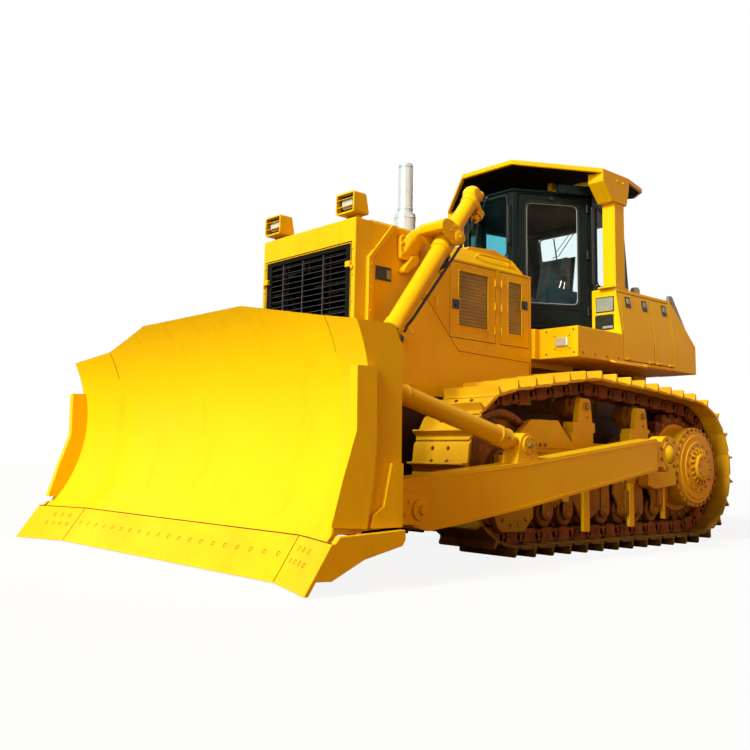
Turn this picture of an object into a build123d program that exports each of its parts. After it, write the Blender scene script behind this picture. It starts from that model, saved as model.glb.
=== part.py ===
from build123d import *
import math
import os

# A large crawler bulldozer: hull, tracks, six-sided cab, roll-over frame and a semi-U blade.
# Millimetres. X runs forward from the sprocket axle, Y to the driver's left, Z up from the ground.
# Each piece is drawn there, and save() then moves it so that the middle of the footprint is X = 0.

os.makedirs("parts", exist_ok=True)

# ---- driving dimensions -------------------------------------------------------------------
clearance = 6
fit = 0.4
chain_slack = 5
overshoot = 10

# running gear
gauge = 2260
shoe_width = 610
shoe_count = 41
plate_thickness = 20
grouser_height = 70
grouser_thickness = 26
rail_height = 130
rail_width = 50
rail_spacing = 170
sprocket_tip_radius = 765
idler_tip_radius = 725
idler_x = 2900
idler_rim = 70
idler_hub_radius = 150
carrier_radius = 115
# carrier rollers: ahead of the sprocket axle, grouser tips above the ground, flange of the stand
carriers = (
    (1790, 1632, 1060, 1150),
    (845, 1590, 1085, 1125),
)
roller_count = 7
roller_first_x = 620
roller_spacing = 288
roller_radius = 115
roller_flange = 20
roller_half_length = 130
frame_half_width = 170
frame_bottom = 600
frame_top = 960
frame_rear_x = 650
frame_front_x = 2330
fork_bottom = 620
fork_top = 860
fork_reach = 110
hanger_plate = 28
hanger_flange = 80
# hangers of the bottom rollers: ahead of the sprocket axle, share of the full outline
hangers = ((530, 0.75), (1085, 1.0), (1775, 1.0), (2240, 0.6))
guard_reach = 170
guard_length = 505
guard_thickness = 60
sprocket_teeth = 21
# final drive as rings turned about the axle: radius, outer plane out from the chain's middle
drive_steps = ((400, 150), (410, 270))
drive_hub_radius = 205
drive_hub_reach = 320
drive_cap_radius = 140
drive_cap_reach = 370
trunnion_reach = 160
ball_radius = 115
shelf_z = (585, 742)
shelf_x = (430, 810)
shelf_reach = 120

# hull and engine
hull_half_width = 480
hull_bottom = 520
hull_top = 1330
hull_rear_x = -520
bolt_radius = 19.5
bolt_spacing = (600, 400)
bolt_middle_z = 1000
bolt_depth = 60
pivot_shaft_x = 780
pivot_shaft_radius = 95
equalizer_x = (2150, 2290)
equalizer_z = (680, 860)
hitch_pin_radius = 32
hitch_z = 620
hitch_length = 230
hitch_pin_back = 170
hitch_slot = 110
hitch_half_width = 150
engine_length = 1450
engine_width = 760
engine_height = 900

# hood and nose guard
hood_half_width = 656
hood_skin = 24
hood_bottom = 1330
hood_top = 2780
hood_rear_x = 1760
nose_front_x = 4070
nose_depth = 190
nose_top = 2764
nose_bottom = 950
nose_rim = 56
nose_trim = 60
nose_trim_proud = 30
nose_trim_knee_z = 2440
nose_trim_back = 264
hull_setback = 190
# the hood's sections from the rear: height of the shoulder, its way in, top; then their joints
hood_sections = ((2610, 150, 2665), (2610, 150, hood_top), (2755, 22, hood_top))
hood_joints = (1870, 3250)
cowl_outline = ((1870, 2770), (1890, 2800), (2110, 2852), (2480, 2822), (2560, 2770))
grille_bottom = 1560
grille_top = 2550
grille_bars = 12
grille_bar = 14
panel_low = 1880
panel_post_x = 2260
panel_front_x = 2930
panel_plate = 25
panel_post = 60
exhaust_x = 2880
exhaust_radius = 72
exhaust_wall = 8
exhaust_sleeve_radius = 102
exhaust_sleeve_top = 3160
exhaust_top = 3660
lamp_width = 240
lamp_height = 180
lamp_wall = 12
lamp_lift = 50
lamp_radius = 48
lamp_inset = 15

# cab
cab_floor = 2085
cab_top = 3620
cab_wall = 45
cab_front_x = 1660
cab_front_half = 340
cab_corner_x = 900
cab_corner_half = 800
cab_rear_x = -60
cab_rear_half = 625
# the rear wall leans forward from a waist: height and X of its bends
cab_rear_bends = ((2680, -60), (2800, -40), (3620, 100))
door_bottom = 2150
door_top = 3570
door_gap = 8
door_posts = (60, 70)
door_window_sides = (75, 90)
door_window_z = (2400, 3490)
rear_window_z = (2800, 3500)
windshield_z = (2900, 3560)
rear_side_window = (90, 230)
pane = 6
floor_plate = 25

# driver's chair, consoles and dashboard
seat_half = 260
seat_rear_x = 470
seat_length = 530
seat_base_length = 430
seat_base_inset = 30
seat_base_height = 305
seat_cushion_height = 130
seat_back_height = 590
seat_back_depth = 130
seat_back_lean = 100
seat_back_taper = 10
seat_back_inset = 10
console_height = 535
console_gap = 40
console_width = 120
console_back = 50
console_length = 540
lever_inset = 80
lever_lean = 40
lever_height = 200
lever_radius = 14
dash_height = 735
dash_back = 230
dash_depth = 170
dash_slope = 70

# roll-over frame
roof_gap = 250
roof_thickness = 52
roof_crown = 137
# left half of the roof's plan, from the front
roof_plan = ((1690, 345), (1130, 1090), (650, 1090), (180, 960), (-90, 700))
post_x = 820
post_y = 1000
post_length = 180
post_width = 150
head_bottom = 3470
head_knee = 3652
head_reach = (310, 170)

# fenders, side boxes and tank
fender_half = 1150
fender_inner = 700
fender_front_x = 1680
fender_bottom = 1785
fender_top = 2085
fender_deck = 40
fender_lens_width = 140
fender_lens_height = 90
fender_lens_inset = 110
fender_lens_drop = 105
fender_lens_proud = 25
box_front_x = 930
box_rear_x = -545
box_top = 2570
box_lean = 70
box_slope_x = -130
cover_thickness = 30
cover_seam_x = 310
cover_margins = (40, 45)

# blade and its gear
lift_pivot_x = 1150
lift_pivot_z = 880
arm_y = 1690
arm_width = 200
# push arm in side view, from its rear cut round the underside to the front and back
arm_outline = (
    (1400, 1012), (1400, 724), (3228, 434), (3999, 332), (4320, 296),
    (4470, 330), (4560, 470), (4574, 643), (3226, 778),
)
blade_half = 2050
blade_flat_half = 742
blade_knee = 1577
wing_angle = 19.4
blade_top = 1850
wing_top = 1620
edge_top = (5254, 289)
edge_bottom = (5446, 12)
edge_overhang = 90
moldboard_top_x = 5215
moldboard_mid = (4940, 1075)
moldboard_plate = 30
edge_thickness = 42
knee_slot = 9
knee_slot_bottom = 1460

# lift cylinders
cylinder_out = 274
trunnion_x = 3270
trunnion_z = 2660
eye_distance = 2350
cylinder_lean = 53.6
barrel_up = 500
barrel_down = 1054
barrel_radius = 69
sleeve_radius = 79
collar_radius = 92
rod_radius = 45
eye_radius = 90
eye_width = 130
trunnion_radius = 45
fork_gap = 112
fork_plate = 40

# ---- worked out from them -------------------------------------------------------------------
hull_front_x = nose_front_x - hull_setback
grille_half_width = hood_half_width - nose_rim
cylinder_y = hood_half_width + cylinder_out
roof_z = cab_top + roof_gap
track_y = gauge / 2
plate_line = grouser_height + plate_thickness
rail_line = plate_line + rail_height
sprocket_z = sprocket_tip_radius
idler_z = idler_tip_radius
roller_z = rail_line + roller_radius
tip_half = blade_half + edge_overhang
wing_tip_x = edge_bottom[0] + (tip_half - blade_knee) * math.tan(math.radians(wing_angle))
mid_x = (wing_tip_x - sprocket_tip_radius) / 2


# ---- helpers ------------------------------------------------------------------------------
def save(name, shape):
    """Write one piece, moved so that X = 0 is the middle of the footprint."""
    solids = [Pos(-mid_x, 0, 0) * solid for solid in solids_of(shape)]
    export_step(solids[0] if len(solids) == 1 else Compound(solids), "parts/" + name + ".step")


def solids_of(shape):
    """The separate solids of a shape, or of a list of shapes."""
    if isinstance(shape, (list, tuple)):
        return [solid for piece in shape for solid in solids_of(piece)]
    return list(shape.solids())


def block(x, y, z):
    """A box between two values on each axis."""
    size = (x[1] - x[0], y[1] - y[0], z[1] - z[0])
    middle = (sum(x) / 2, sum(y) / 2, sum(z) / 2)
    return Pos(*middle) * Box(*size)


def side_plate(points, y):
    """A side-view outline (X, Z) drawn out between two Y values."""
    face = Plane.XZ.offset(-y[1]) * Polygon(*points, align=None)
    return extrude(face, amount=y[1] - y[0], dir=(0, -1, 0))


def plan_plate(points, z):
    """A plan outline (X, Y) drawn out between two heights."""
    face = Plane.XY.offset(z[0]) * Polygon(*points, align=None)
    return extrude(face, amount=z[1] - z[0], dir=(0, 0, 1))


def front_plate(points, x):
    """A front-view outline (Y, Z) drawn out between two X values."""
    face = Plane.YZ.offset(x[0]) * Polygon(*points, align=None)
    return extrude(face, amount=x[1] - x[0], dir=(1, 0, 0))


def disc(x, z, radius, y):
    """A cylinder along Y."""
    return Pos(x, sum(y) / 2, z) * Rot(90, 0, 0) * Cylinder(radius, y[1] - y[0])


def bar(start, end, radius):
    """A round bar from one point to another."""
    line = Edge.make_line(start, end)
    place = Plane(origin=start, z_dir=line % 0)
    return extrude(place * Circle(radius), amount=line.length)


def cone(x, z, radii, y):
    """A cone along Y, from its radius at the first Y value to that at the second."""
    return Pos(x, sum(y) / 2, z) * Rot(-90, 0, 0) * Cone(radii[0], radii[1], y[1] - y[0])


def between(one, other):
    """Two values as a range, the lower one first."""
    return (min(one, other), max(one, other))


def other_side(shape):
    """The same piece on the machine's right."""
    return mirror(shape, about=Plane.XZ)


def both(shape):
    """A piece and its mirror image."""
    return [shape, other_side(shape)]


def fused(parts):
    """One solid from several that touch."""
    whole = parts[0]
    for part in parts[1:]:
        whole = whole + part
    return whole


# ---- tracks -------------------------------------------------------------------------------
def loop_circles():
    """Wheels that the chain goes round, at the line under the shoe plates, counter-clockwise."""
    wheels = [(0, sprocket_z, sprocket_tip_radius - plate_line)]
    wheels.append((idler_x, idler_z, idler_tip_radius - plate_line))
    for x, tip_height, *stand in carriers:
        radius = carrier_radius + rail_height
        wheels.append((x, tip_height - plate_line - radius, radius))
    return wheels


def loop_runs():
    """Arcs and straight runs of the loop, each as length and a function of the way along it."""
    wheels = loop_circles()
    normals = []
    for here, there in zip(wheels, wheels[1:] + wheels[:1]):
        dx = there[0] - here[0]
        dz = there[1] - here[1]
        lean = math.acos((here[2] - there[2]) / math.hypot(dx, dz))
        normals.append(math.atan2(dz, dx) - lean)
    runs = []
    for index, wheel in enumerate(wheels):
        start = normals[index - 1]
        turn = (normals[index] - start) % (2 * math.pi)
        runs.append(("arc", wheel, start, turn, wheel[2] * turn))
        after = wheels[(index + 1) % len(wheels)]
        gap = math.hypot(after[0] - wheel[0], after[1] - wheel[1])
        length = math.sqrt(gap**2 - (after[2] - wheel[2]) ** 2)
        runs.append(("line", wheel, normals[index], 0, length))
    return runs


loop = loop_runs()
loop_length = sum(run[4] for run in loop)
shoe_pitch = loop_length / shoe_count


def loop_point(distance, height):
    """A point that far round the loop and that high outside the plates' underside."""
    left = distance % loop_length
    for kind, wheel, start, turn, length in loop:
        if left <= length:
            break
        left -= length
    angle = start + (left / wheel[2] if kind == "arc" else 0)
    along = left if kind == "line" else 0
    radius = wheel[2] + height
    x = wheel[0] + radius * math.cos(angle) - along * math.sin(angle)
    z = wheel[1] + radius * math.sin(angle) + along * math.cos(angle)
    return x, z


def shoe_points(index):
    """One shoe's outline: plate, grouser and the notch before the next shoe."""
    middle = index * shoe_pitch
    half = shoe_pitch * 0.46
    bar_at = -0.28 * shoe_pitch
    edge = grouser_thickness / 2
    steps = (
        (-half, plate_thickness),
        (bar_at - edge, plate_thickness),
        (bar_at - edge, plate_thickness + grouser_height),
        (bar_at + edge, plate_thickness + grouser_height),
        (bar_at + edge, plate_thickness),
        (half, plate_thickness),
        (shoe_pitch / 2, plate_thickness / 3),
    )
    return [loop_point(middle + along, height) for along, height in steps]


def link_ring(steps):
    """The loop's outline with the same steps on each link: share of the pitch along, height."""
    return [
        loop_point((index + along) * shoe_pitch, height)
        for index in range(shoe_count)
        for along, height in steps
    ]


def track():
    """Shoes and scalloped link rails as one closed loop on the left side."""
    shoes = [point for index in range(shoe_count) for point in shoe_points(index)]
    side = (track_y - shoe_width / 2, track_y + shoe_width / 2)
    whole = side_plate(shoes, side) - side_plate(link_ring([(0.5, 0)]), side)
    outer = link_ring([(0.5, 1)])
    inner = link_ring([(-0.25, -rail_height), (0.25, -rail_height), (0.5, -0.62 * rail_height)])
    for sign in (-1, 1):
        middle = track_y + sign * rail_spacing / 2
        rail = (middle - rail_width / 2, middle + rail_width / 2)
        whole += side_plate(outer, rail) - side_plate(inner, rail)
    return whole


left_track = track()
save("track_left", left_track)
save("track_right", other_side(left_track))

# ---- rollers, idlers, sprockets -----------------------------------------------------------
wheel_half = rail_spacing / 2 + rail_width / 2
guide_half = rail_spacing / 2 - rail_width / 2 - clearance


def roller(x, z, radius, flange, half_length):
    """A twin-tread roller with a guiding rib between the rails and a shaft."""
    tread = disc(x, z, radius, (track_y - half_length, track_y + half_length))
    rib = disc(x, z, radius + flange, (track_y - guide_half, track_y + guide_half))
    return tread + rib


roller_places = [roller_first_x + index * roller_spacing for index in range(roller_count)]
bottom_rollers = []
for x in roller_places:
    wheel = roller(x, roller_z, roller_radius - fit, roller_flange, roller_half_length)
    bottom_rollers += [wheel, other_side(wheel)]
save("bottom_rollers", bottom_rollers)

carrier_wheels = []
carrier_places = [(x, z) for x, z, line_radius in loop_circles()[2:]]
for x, z in carrier_places:
    wheel = roller(x, z, carrier_radius - chain_slack, roller_flange, wheel_half)
    carrier_wheels += [wheel, other_side(wheel)]
save("carrier_rollers", carrier_wheels)

idler_radius = idler_tip_radius - rail_line - chain_slack
idler_wheel = disc(idler_x, idler_z, idler_radius, (track_y - wheel_half, track_y + wheel_half))
guide_y = (track_y - guide_half, track_y + guide_half)
idler_wheel += disc(idler_x, idler_z, idler_radius + roller_flange, guide_y)
for sign in (-1, 1):
    side = between(track_y + sign * wheel_half, track_y + sign * guide_half)
    hub = disc(idler_x, idler_z, idler_hub_radius, side)
    idler_wheel -= disc(idler_x, idler_z, idler_radius - idler_rim, side) - hub
save("idlers", both(idler_wheel))


def sprocket_and_drive():
    """Toothed ring, its disc and the final drive's round cases, turned about the axle."""
    root = sprocket_tip_radius - rail_line
    half = guide_half - clearance
    ring = disc(0, sprocket_z, root, (track_y - half, track_y + half))
    tooth = Box(root / 8, 2 * half, root / 8)
    for index in range(sprocket_teeth):
        turn = Rot(0, 360 / sprocket_teeth * index, 0)
        ring += Pos(0, track_y, sprocket_z) * turn * Pos(root + roller_flange, 0, 0) * tooth
    pieces = [ring, disc(0, sprocket_z, 330, (hull_half_width, track_y - half))]
    inner_plane = track_y + half
    for radius, reach in drive_steps:
        pieces.append(disc(0, sprocket_z, radius, (inner_plane, track_y + reach)))
        inner_plane = track_y + reach
    hub_plane = track_y + drive_hub_reach
    dish_radii = (drive_steps[-1][0] - 25, drive_hub_radius)
    pieces.append(cone(0, sprocket_z, dish_radii, (inner_plane, hub_plane)))
    pieces.append(disc(0, sprocket_z, drive_cap_radius, (hub_plane, track_y + drive_cap_reach)))
    return fused(pieces)


drive = sprocket_and_drive()
save("final_drives", both(drive))

# ---- track frames -------------------------------------------------------------------------
frame_side = (track_y - frame_half_width, track_y + frame_half_width)
frame_outer = track_y + frame_half_width
cheek_inner = wheel_half + chain_slack
# side view of the recoil housing and of the cheeks ahead of it
recoil_outline = (
    (1956, 896), (2140, 1068), (2213, 1143), (2385, 1143), (2385, 896),
)
cheek_outline = (
    (2330, 896), (2330, 1143), (2383, 1041), (2583, 1137), (2803, 980), (2803, 860), (2330, 860),
)
guard_outline = (
    (idler_x + guard_reach, 420), (idler_x + guard_reach, 333), (3020, 238), (2973, 203), (2682, 200),
    (2561, 312), (2561, 420),
)
guard_hanger_x = (2620, 2780)


def frame_cheek(sign):
    """The frame's side plates round the idler, with its fork."""
    side = between(track_y + sign * cheek_inner, track_y + sign * frame_half_width)
    fork = side_plate(
        (
            (frame_front_x, fork_bottom + 20),
            (frame_front_x, fork_top),
            (idler_x + fork_reach, fork_top - 30),
            (idler_x + fork_reach, fork_bottom),
            (idler_x - 200, fork_bottom),
        ),
        side,
    )
    guard = side_plate(guard_outline, side)
    hanger = block(guard_hanger_x, side, (400, fork_bottom + 20))
    return fused([fork, side_plate(cheek_outline, side), guard, hanger])


def carrier_stand(x, z, flange):
    """A tower beside the carrier roller: pedestal, bolted flange and a tapered head."""
    under = (track_y + guide_half + clearance, frame_outer)
    beside = (track_y + cheek_inner, frame_outer)
    pedestal = block((x - 120, x + 210), under, (frame_top - 60, flange[0]))
    plate = block((x - 150, x + 190), under, flange)
    head = side_plate(
        (
            (x - 110, flange[1]), (x + 120, flange[1]), (x + 88, z + 40), (x + 60, z + 75),
            (x - 60, z + 75), (x - 85, z + 40),
        ),
        beside,
    )
    shaft = disc(x, z, 40, (track_y + wheel_half, frame_outer + 15))
    return fused([pedestal, plate, head, shaft])


def track_frame():
    """Box beam inside the track with recoil housing, idler fork, carrier towers and trunnion."""
    beam = block((frame_rear_x, frame_front_x), frame_side, (frame_bottom, frame_top))
    pieces = [beam, side_plate(recoil_outline, frame_side), frame_cheek(1), frame_cheek(-1)]
    for (x, z), (carrier_x, tip, *flange) in zip(carrier_places, carriers):
        pieces.append(carrier_stand(x, z, flange))
    arm_inner = arm_y - arm_width / 2
    boss = block(
        (lift_pivot_x - 120, lift_pivot_x + 120),
        (frame_outer, frame_outer + trunnion_reach),
        (lift_pivot_z - 110, lift_pivot_z + 75),
    )
    pieces.append(boss)
    pieces.append(disc(lift_pivot_x, lift_pivot_z, 70, (frame_outer + trunnion_reach, arm_inner - 20)))
    pieces.append(disc(lift_pivot_x, lift_pivot_z, 60, (arm_inner - 30, arm_y)))
    pieces.append(Pos(lift_pivot_x, arm_y, lift_pivot_z) * Sphere(ball_radius))
    shelf = side_plate(
        (
            (shelf_x[0], shelf_z[0]), (shelf_x[1], shelf_z[0] - 38), (shelf_x[1] + 130, shelf_z[0]),
            (shelf_x[1] + 130, shelf_z[1]), (shelf_x[0], shelf_z[1]),
        ),
        (frame_outer, frame_outer + shelf_reach),
    )
    pieces.append(shelf)
    tail = (frame_bottom, shelf_z[1])
    pieces.append(block((shelf_x[0], frame_rear_x), (track_y + cheek_inner, frame_outer), tail))
    return fused(pieces)


left_frame = track_frame()
save("track_frame_left", left_frame)
save("track_frame_right", other_side(left_frame))

# a hanger in side view about its middle, below the frame: X, share of the way down to its tip
hanger_outline = ((-195, 0), (-195, 0.66), (-60, 0.88), (47, 1), (97, 0.87), (259, 0.29), (259, 0))
hanger_tip_z = 242


def hanger(middle, share, sign):
    """A plate under one side of the frame that narrows downwards, with a flange on its front."""
    drop = (frame_bottom - hanger_tip_z) * share
    outline = [(middle + share * x, frame_bottom - drop * way) for x, way in hanger_outline]
    outer = track_y + sign * frame_half_width
    plate = side_plate(outline, between(outer - sign * hanger_plate, outer))
    x = middle + share * 60
    flange = block(
        (x - hanger_flange / 2, x + hanger_flange / 2),
        between(outer, outer + sign * hanger_plate),
        (frame_bottom - 0.8 * drop, frame_bottom - 0.2 * drop),
    )
    return plate + flange


left_hangers = [hanger(middle, share, sign) for middle, share in hangers for sign in (-1, 1)]
save("bogies", left_hangers + [other_side(piece) for piece in left_hangers])

# ---- hull, shafts, hitch, engine ----------------------------------------------------------
hull = side_plate(
    (
        (hull_rear_x, hull_bottom + 120),
        (hull_rear_x + 200, hull_bottom),
        (hull_front_x - 420, hull_bottom),
        (hull_front_x, hull_bottom + 260),
        (hull_front_x, hull_top),
        (hull_rear_x, hull_top),
    ),
    (-hull_half_width, hull_half_width),
)
for y in (-bolt_spacing[0] / 2, bolt_spacing[0] / 2):
    for z in (bolt_middle_z - bolt_spacing[1] / 2, bolt_middle_z + bolt_spacing[1] / 2):
        hull -= Pos(hull_rear_x, y, z) * Rot(0, 90, 0) * Cylinder(bolt_radius, 2 * bolt_depth)
save("main_frame", hull)

shaft_y = (hull_half_width, track_y - frame_half_width)
pivot_shaft = disc(pivot_shaft_x, sprocket_z, pivot_shaft_radius, shaft_y)
equalizer = block(equalizer_x, shaft_y, equalizer_z)
save("cross_shafts", both(pivot_shaft) + both(equalizer))

hitch_x = hull_rear_x - hitch_pin_back
hitch_top = hitch_z + hitch_slot / 2 + 180
hitch = block(
    (hull_rear_x - hitch_length, hull_rear_x),
    (-hitch_half_width, hitch_half_width),
    (hitch_z - hitch_slot / 2 - 60, hitch_top),
)
hitch -= block(
    (hull_rear_x - hitch_length - overshoot, hitch_x + 80),
    (-hitch_half_width - overshoot, hitch_half_width + overshoot),
    (hitch_z - hitch_slot / 2, hitch_z + hitch_slot / 2),
)
hitch -= Pos(hitch_x, 0, hitch_z) * Cylinder(hitch_pin_radius, 2 * (hitch_top - hitch_z + overshoot))
save("drawbar", hitch)

engine_rear_x = hood_rear_x + 160
engine = block(
    (engine_rear_x, engine_rear_x + engine_length),
    (-engine_width / 2, engine_width / 2),
    (hull_top, hull_top + engine_height),
)
save("engine_block", engine)

# ---- hood ---------------------------------------------------------------------------------
nose_rear_x = nose_front_x - nose_depth
panel_high = hood_sections[0][0] - 20


def hood_section(section, inset):
    """The hood's cross-section: upright sides, sloped shoulders and a flat top."""
    shoulder_z, shoulder_in, top = section
    side = hood_half_width - inset
    shoulder = shoulder_z - inset / 2
    return (
        (-side, hood_bottom),
        (side, hood_bottom),
        (side, shoulder),
        (side - shoulder_in, top - inset),
        (-side + shoulder_in, top - inset),
        (-side, shoulder),
    )


panel_openings = (
    (hood_rear_x + panel_post / 2, panel_post_x - panel_post / 2),
    (panel_post_x + panel_post / 2, panel_front_x),
)


def hood_shell():
    """The hood's skin in three sections, with a cowl hump before the cab and the panels' openings."""
    ends = (hood_rear_x, *hood_joints, nose_rear_x)
    pieces = []
    for section, x in zip(hood_sections, zip(ends, ends[1:])):
        hollow_from = x[0] + hood_skin if x[0] == hood_rear_x else x[0]
        skin = front_plate(hood_section(section, 0), x)
        pieces.append(skin - front_plate(hood_section(section, hood_skin), (hollow_from, x[1])))
    for behind, ahead, x in zip(hood_sections, hood_sections[1:], hood_joints):
        step = front_plate(hood_section(ahead, 0), (x, x + hood_skin))
        pieces.append(step - front_plate(hood_section(behind, hood_skin), (x, x + hood_skin)))
    cowl_half = hood_half_width - hood_sections[1][1] - hood_skin
    pieces.append(side_plate(cowl_outline, (-cowl_half, cowl_half)))
    shell = fused(pieces)
    outer = hood_half_width + overshoot
    for x_range in panel_openings:
        shell -= block(x_range, (-outer, outer), (panel_low, panel_high))
    return shell


save("hood", hood_shell())

exhaust = Pos(exhaust_x, 0, (hood_top + exhaust_sleeve_top) / 2) * Cylinder(
    exhaust_sleeve_radius, exhaust_sleeve_top - hood_top
)
exhaust += Pos(exhaust_x, 0, (exhaust_sleeve_top + exhaust_top) / 2) * Cylinder(
    exhaust_radius, exhaust_top - exhaust_sleeve_top
)
exhaust -= Pos(exhaust_x, 0, exhaust_top) * Cylinder(exhaust_radius - exhaust_wall, 500)
save("exhaust_stack", exhaust)

grille_y = (-grille_half_width, grille_half_width)
nose = block((nose_rear_x, nose_front_x), (-hood_half_width, hood_half_width), (nose_bottom, nose_top))
nose -= block((nose_rear_x - overshoot, nose_front_x + overshoot), grille_y, (grille_bottom, grille_top))
trim_top_x = nose_rear_x - nose_trim_back
trim = side_plate(
    (
        (nose_rear_x, nose_bottom),
        (nose_rear_x + nose_trim, nose_bottom),
        (nose_rear_x + nose_trim, nose_trim_knee_z),
        (trim_top_x + nose_trim, nose_top),
        (trim_top_x, nose_top),
        (nose_rear_x, nose_trim_knee_z),
    ),
    (hood_half_width, hood_half_width + nose_trim_proud),
)
save("radiator_guard", fused([nose, trim, other_side(trim)]))

core_front_x = nose_rear_x + 60
slat_front_x = nose_front_x - 30
core = block((nose_rear_x, core_front_x), grille_y, (grille_bottom, grille_top))
slat_pitch = (grille_top - grille_bottom) / grille_bars
for index in range(grille_bars):
    z = grille_bottom + (index + 0.5) * slat_pitch
    slat = side_plate(
        (
            (core_front_x, z + grille_bar),
            (slat_front_x, z - 1.6 * grille_bar),
            (slat_front_x, z - 0.6 * grille_bar),
            (core_front_x, z + 2 * grille_bar),
        ),
        grille_y,
    )
    core += slat
for share in (-0.5, 0, 0.5):
    y = share * grille_half_width
    core += block((core_front_x, slat_front_x), (y - 8, y + 8), (grille_bottom, grille_top))
save("grille", core)


def hood_panel(x_range):
    """One hinged engine panel with its mesh window as a shallow recess."""
    x = (x_range[0] + clearance, x_range[1] - clearance)
    z = (panel_low + clearance, panel_high - clearance)
    panel = block(x, (hood_half_width - panel_plate, hood_half_width), z)
    window = block(
        (x[0] + 110, x[1] - 110),
        (hood_half_width - panel_plate / 2, hood_half_width + overshoot),
        (z[0] + 110, z[1] - 70),
    )
    return panel - window


for name, x_range in zip(("rear", "front"), panel_openings):
    panel = hood_panel(x_range)
    save("engine_door_" + name + "_left", panel)
    save("engine_door_" + name + "_right", other_side(panel))

# lamps on the nose and in the fenders: boxes open to the front, each with its lenses
lamp_bottom = nose_top + lamp_lift
lamp_boxes = []
lamp_lenses = []
for sign in (-1, 1):
    outer = sign * (hood_half_width - lamp_inset)
    y = between(outer, outer - sign * lamp_width)
    shell = block((nose_rear_x + 20, nose_front_x + 10), y, (lamp_bottom, lamp_bottom + lamp_height))
    shell -= block(
        (nose_front_x - 60, nose_front_x + 10 + overshoot),
        (y[0] + lamp_wall, y[1] - lamp_wall),
        (lamp_bottom + lamp_wall, lamp_bottom + lamp_height - lamp_wall),
    )
    foot = block((nose_rear_x + 60, nose_front_x - 60), (y[0] + 60, y[1] - 60), (nose_top, lamp_bottom))
    lamp_boxes.append(shell + foot)
    for share in (0.28, 0.72):
        middle = (nose_front_x - 40, y[0] + share * lamp_width, lamp_bottom + lamp_height / 2)
        lamp_lenses.append(Pos(*middle) * Rot(0, 90, 0) * Cylinder(lamp_radius, 40))
save("headlamps", lamp_boxes)

# ---- platform, fenders --------------------------------------------------------------------
platform = block((hull_rear_x, hood_rear_x), (-fender_inner, fender_inner), (fender_bottom, fender_top))
platform -= block(
    (hull_rear_x - overshoot, hood_rear_x - 60),
    (-hull_half_width, hull_half_width),
    (fender_bottom - overshoot, fender_top - fender_deck),
)
for sign in (-1, 1):
    y = between(sign * fender_inner, sign * fender_half)
    platform += block((box_front_x, fender_front_x), y, (fender_bottom, fender_top))
leg_inner = hull_half_width - 80
for x in ((hull_rear_x, hull_rear_x + 260), (box_front_x - 30, hood_rear_x)):
    for sign in (-1, 1):
        y = between(sign * leg_inner, sign * hull_half_width)
        platform += block(x, y, (hull_top, fender_bottom))
        y = between(sign * leg_inner, sign * (hull_half_width + 60))
        platform += block(x, y, (fender_bottom - 60, fender_bottom))
save("platform", platform)

fender_lens = block(
    (fender_front_x, fender_front_x + fender_lens_proud),
    (fender_half - fender_lens_inset - fender_lens_width, fender_half - fender_lens_inset),
    (fender_top - fender_lens_drop - fender_lens_height, fender_top - fender_lens_drop),
)
save("lamp_lenses", lamp_lenses + both(fender_lens))


# ---- cab ----------------------------------------------------------------------------------
def cab_plan(inset):
    """Plan of the six-sided cab, its walls moved inwards by a distance."""
    corners = (
        (cab_front_x, -cab_front_half),
        (cab_front_x, cab_front_half),
        (cab_corner_x, cab_corner_half),
        (cab_rear_x, cab_rear_half),
        (cab_rear_x, -cab_rear_half),
        (cab_corner_x, -cab_corner_half),
    )
    face = Polygon(*corners, align=None)
    return face if inset == 0 else offset(face, amount=-inset, kind=Kind.INTERSECTION)


def cab_block(inset, heights):
    """The cab's plan drawn up between two heights."""
    face = Plane.XY.offset(heights[0]) * cab_plan(inset)
    return extrude(face, amount=heights[1] - heights[0], dir=(0, 0, 1))


def cab_body(inset, heights):
    """The cab's plan drawn up, with the lean of its rear wall taken off."""
    bends = [(x + inset, z) for z, x in cab_rear_bends]
    low = (bends[0][0], cab_floor - 2 * overshoot)
    high = (bends[-1][0], cab_top + 2 * overshoot)
    behind = cab_rear_x - 2 * overshoot
    wedge = side_plate(
        (low, *bends, high, (behind, high[1]), (behind, low[1])), (-cab_corner_half, cab_corner_half)
    )
    return cab_block(inset, heights) - wedge


def on_wall(start, end, along, heights, depth):
    """A box across one cab wall, from its plan line and the distances along it."""
    run = (end[0] - start[0], end[1] - start[1], 0)
    place = Plane(origin=(start[0], start[1], 0), x_dir=run, z_dir=(0, 0, 1))
    return place * block(along, depth, heights)


# corners of the plan on the left side, from the front
cab_corners = ((cab_front_x, cab_front_half), (cab_corner_x, cab_corner_half), (cab_rear_x, cab_rear_half))
door_wall = cab_corners[0:2]
rear_side_wall = cab_corners[1:3]
through = (-2 * cab_wall, 2 * cab_wall)
door_end = math.dist(*door_wall) - door_posts[1]
door_opening = on_wall(*door_wall, (door_posts[0], door_end), (door_bottom, door_top), through)
rear_side_hole = on_wall(
    *rear_side_wall,
    (rear_side_window[0], math.dist(*rear_side_wall) - rear_side_window[1]),
    (door_window_z[0] + 250, rear_window_z[1]),
    through,
)
windshield_half = cab_front_half - 70
windshield_hole = block(
    (cab_front_x - 2 * cab_wall, cab_front_x + 2 * cab_wall),
    (-windshield_half, windshield_half),
    windshield_z,
)
rear_half = cab_rear_half - 95
rear_hole = block(
    (cab_rear_x - 2 * cab_wall, cab_rear_bends[-1][1] + 2 * cab_wall), (-rear_half, rear_half), rear_window_z
)
window_holes = (rear_side_hole, other_side(rear_side_hole), windshield_hole, rear_hole)

cab = cab_body(0, (cab_floor, cab_top)) - cab_body(cab_wall, (cab_floor + 25, cab_top - 40))
for hole in (door_opening, other_side(door_opening), *window_holes):
    cab -= hole
save("cab_shell", cab)

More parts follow.
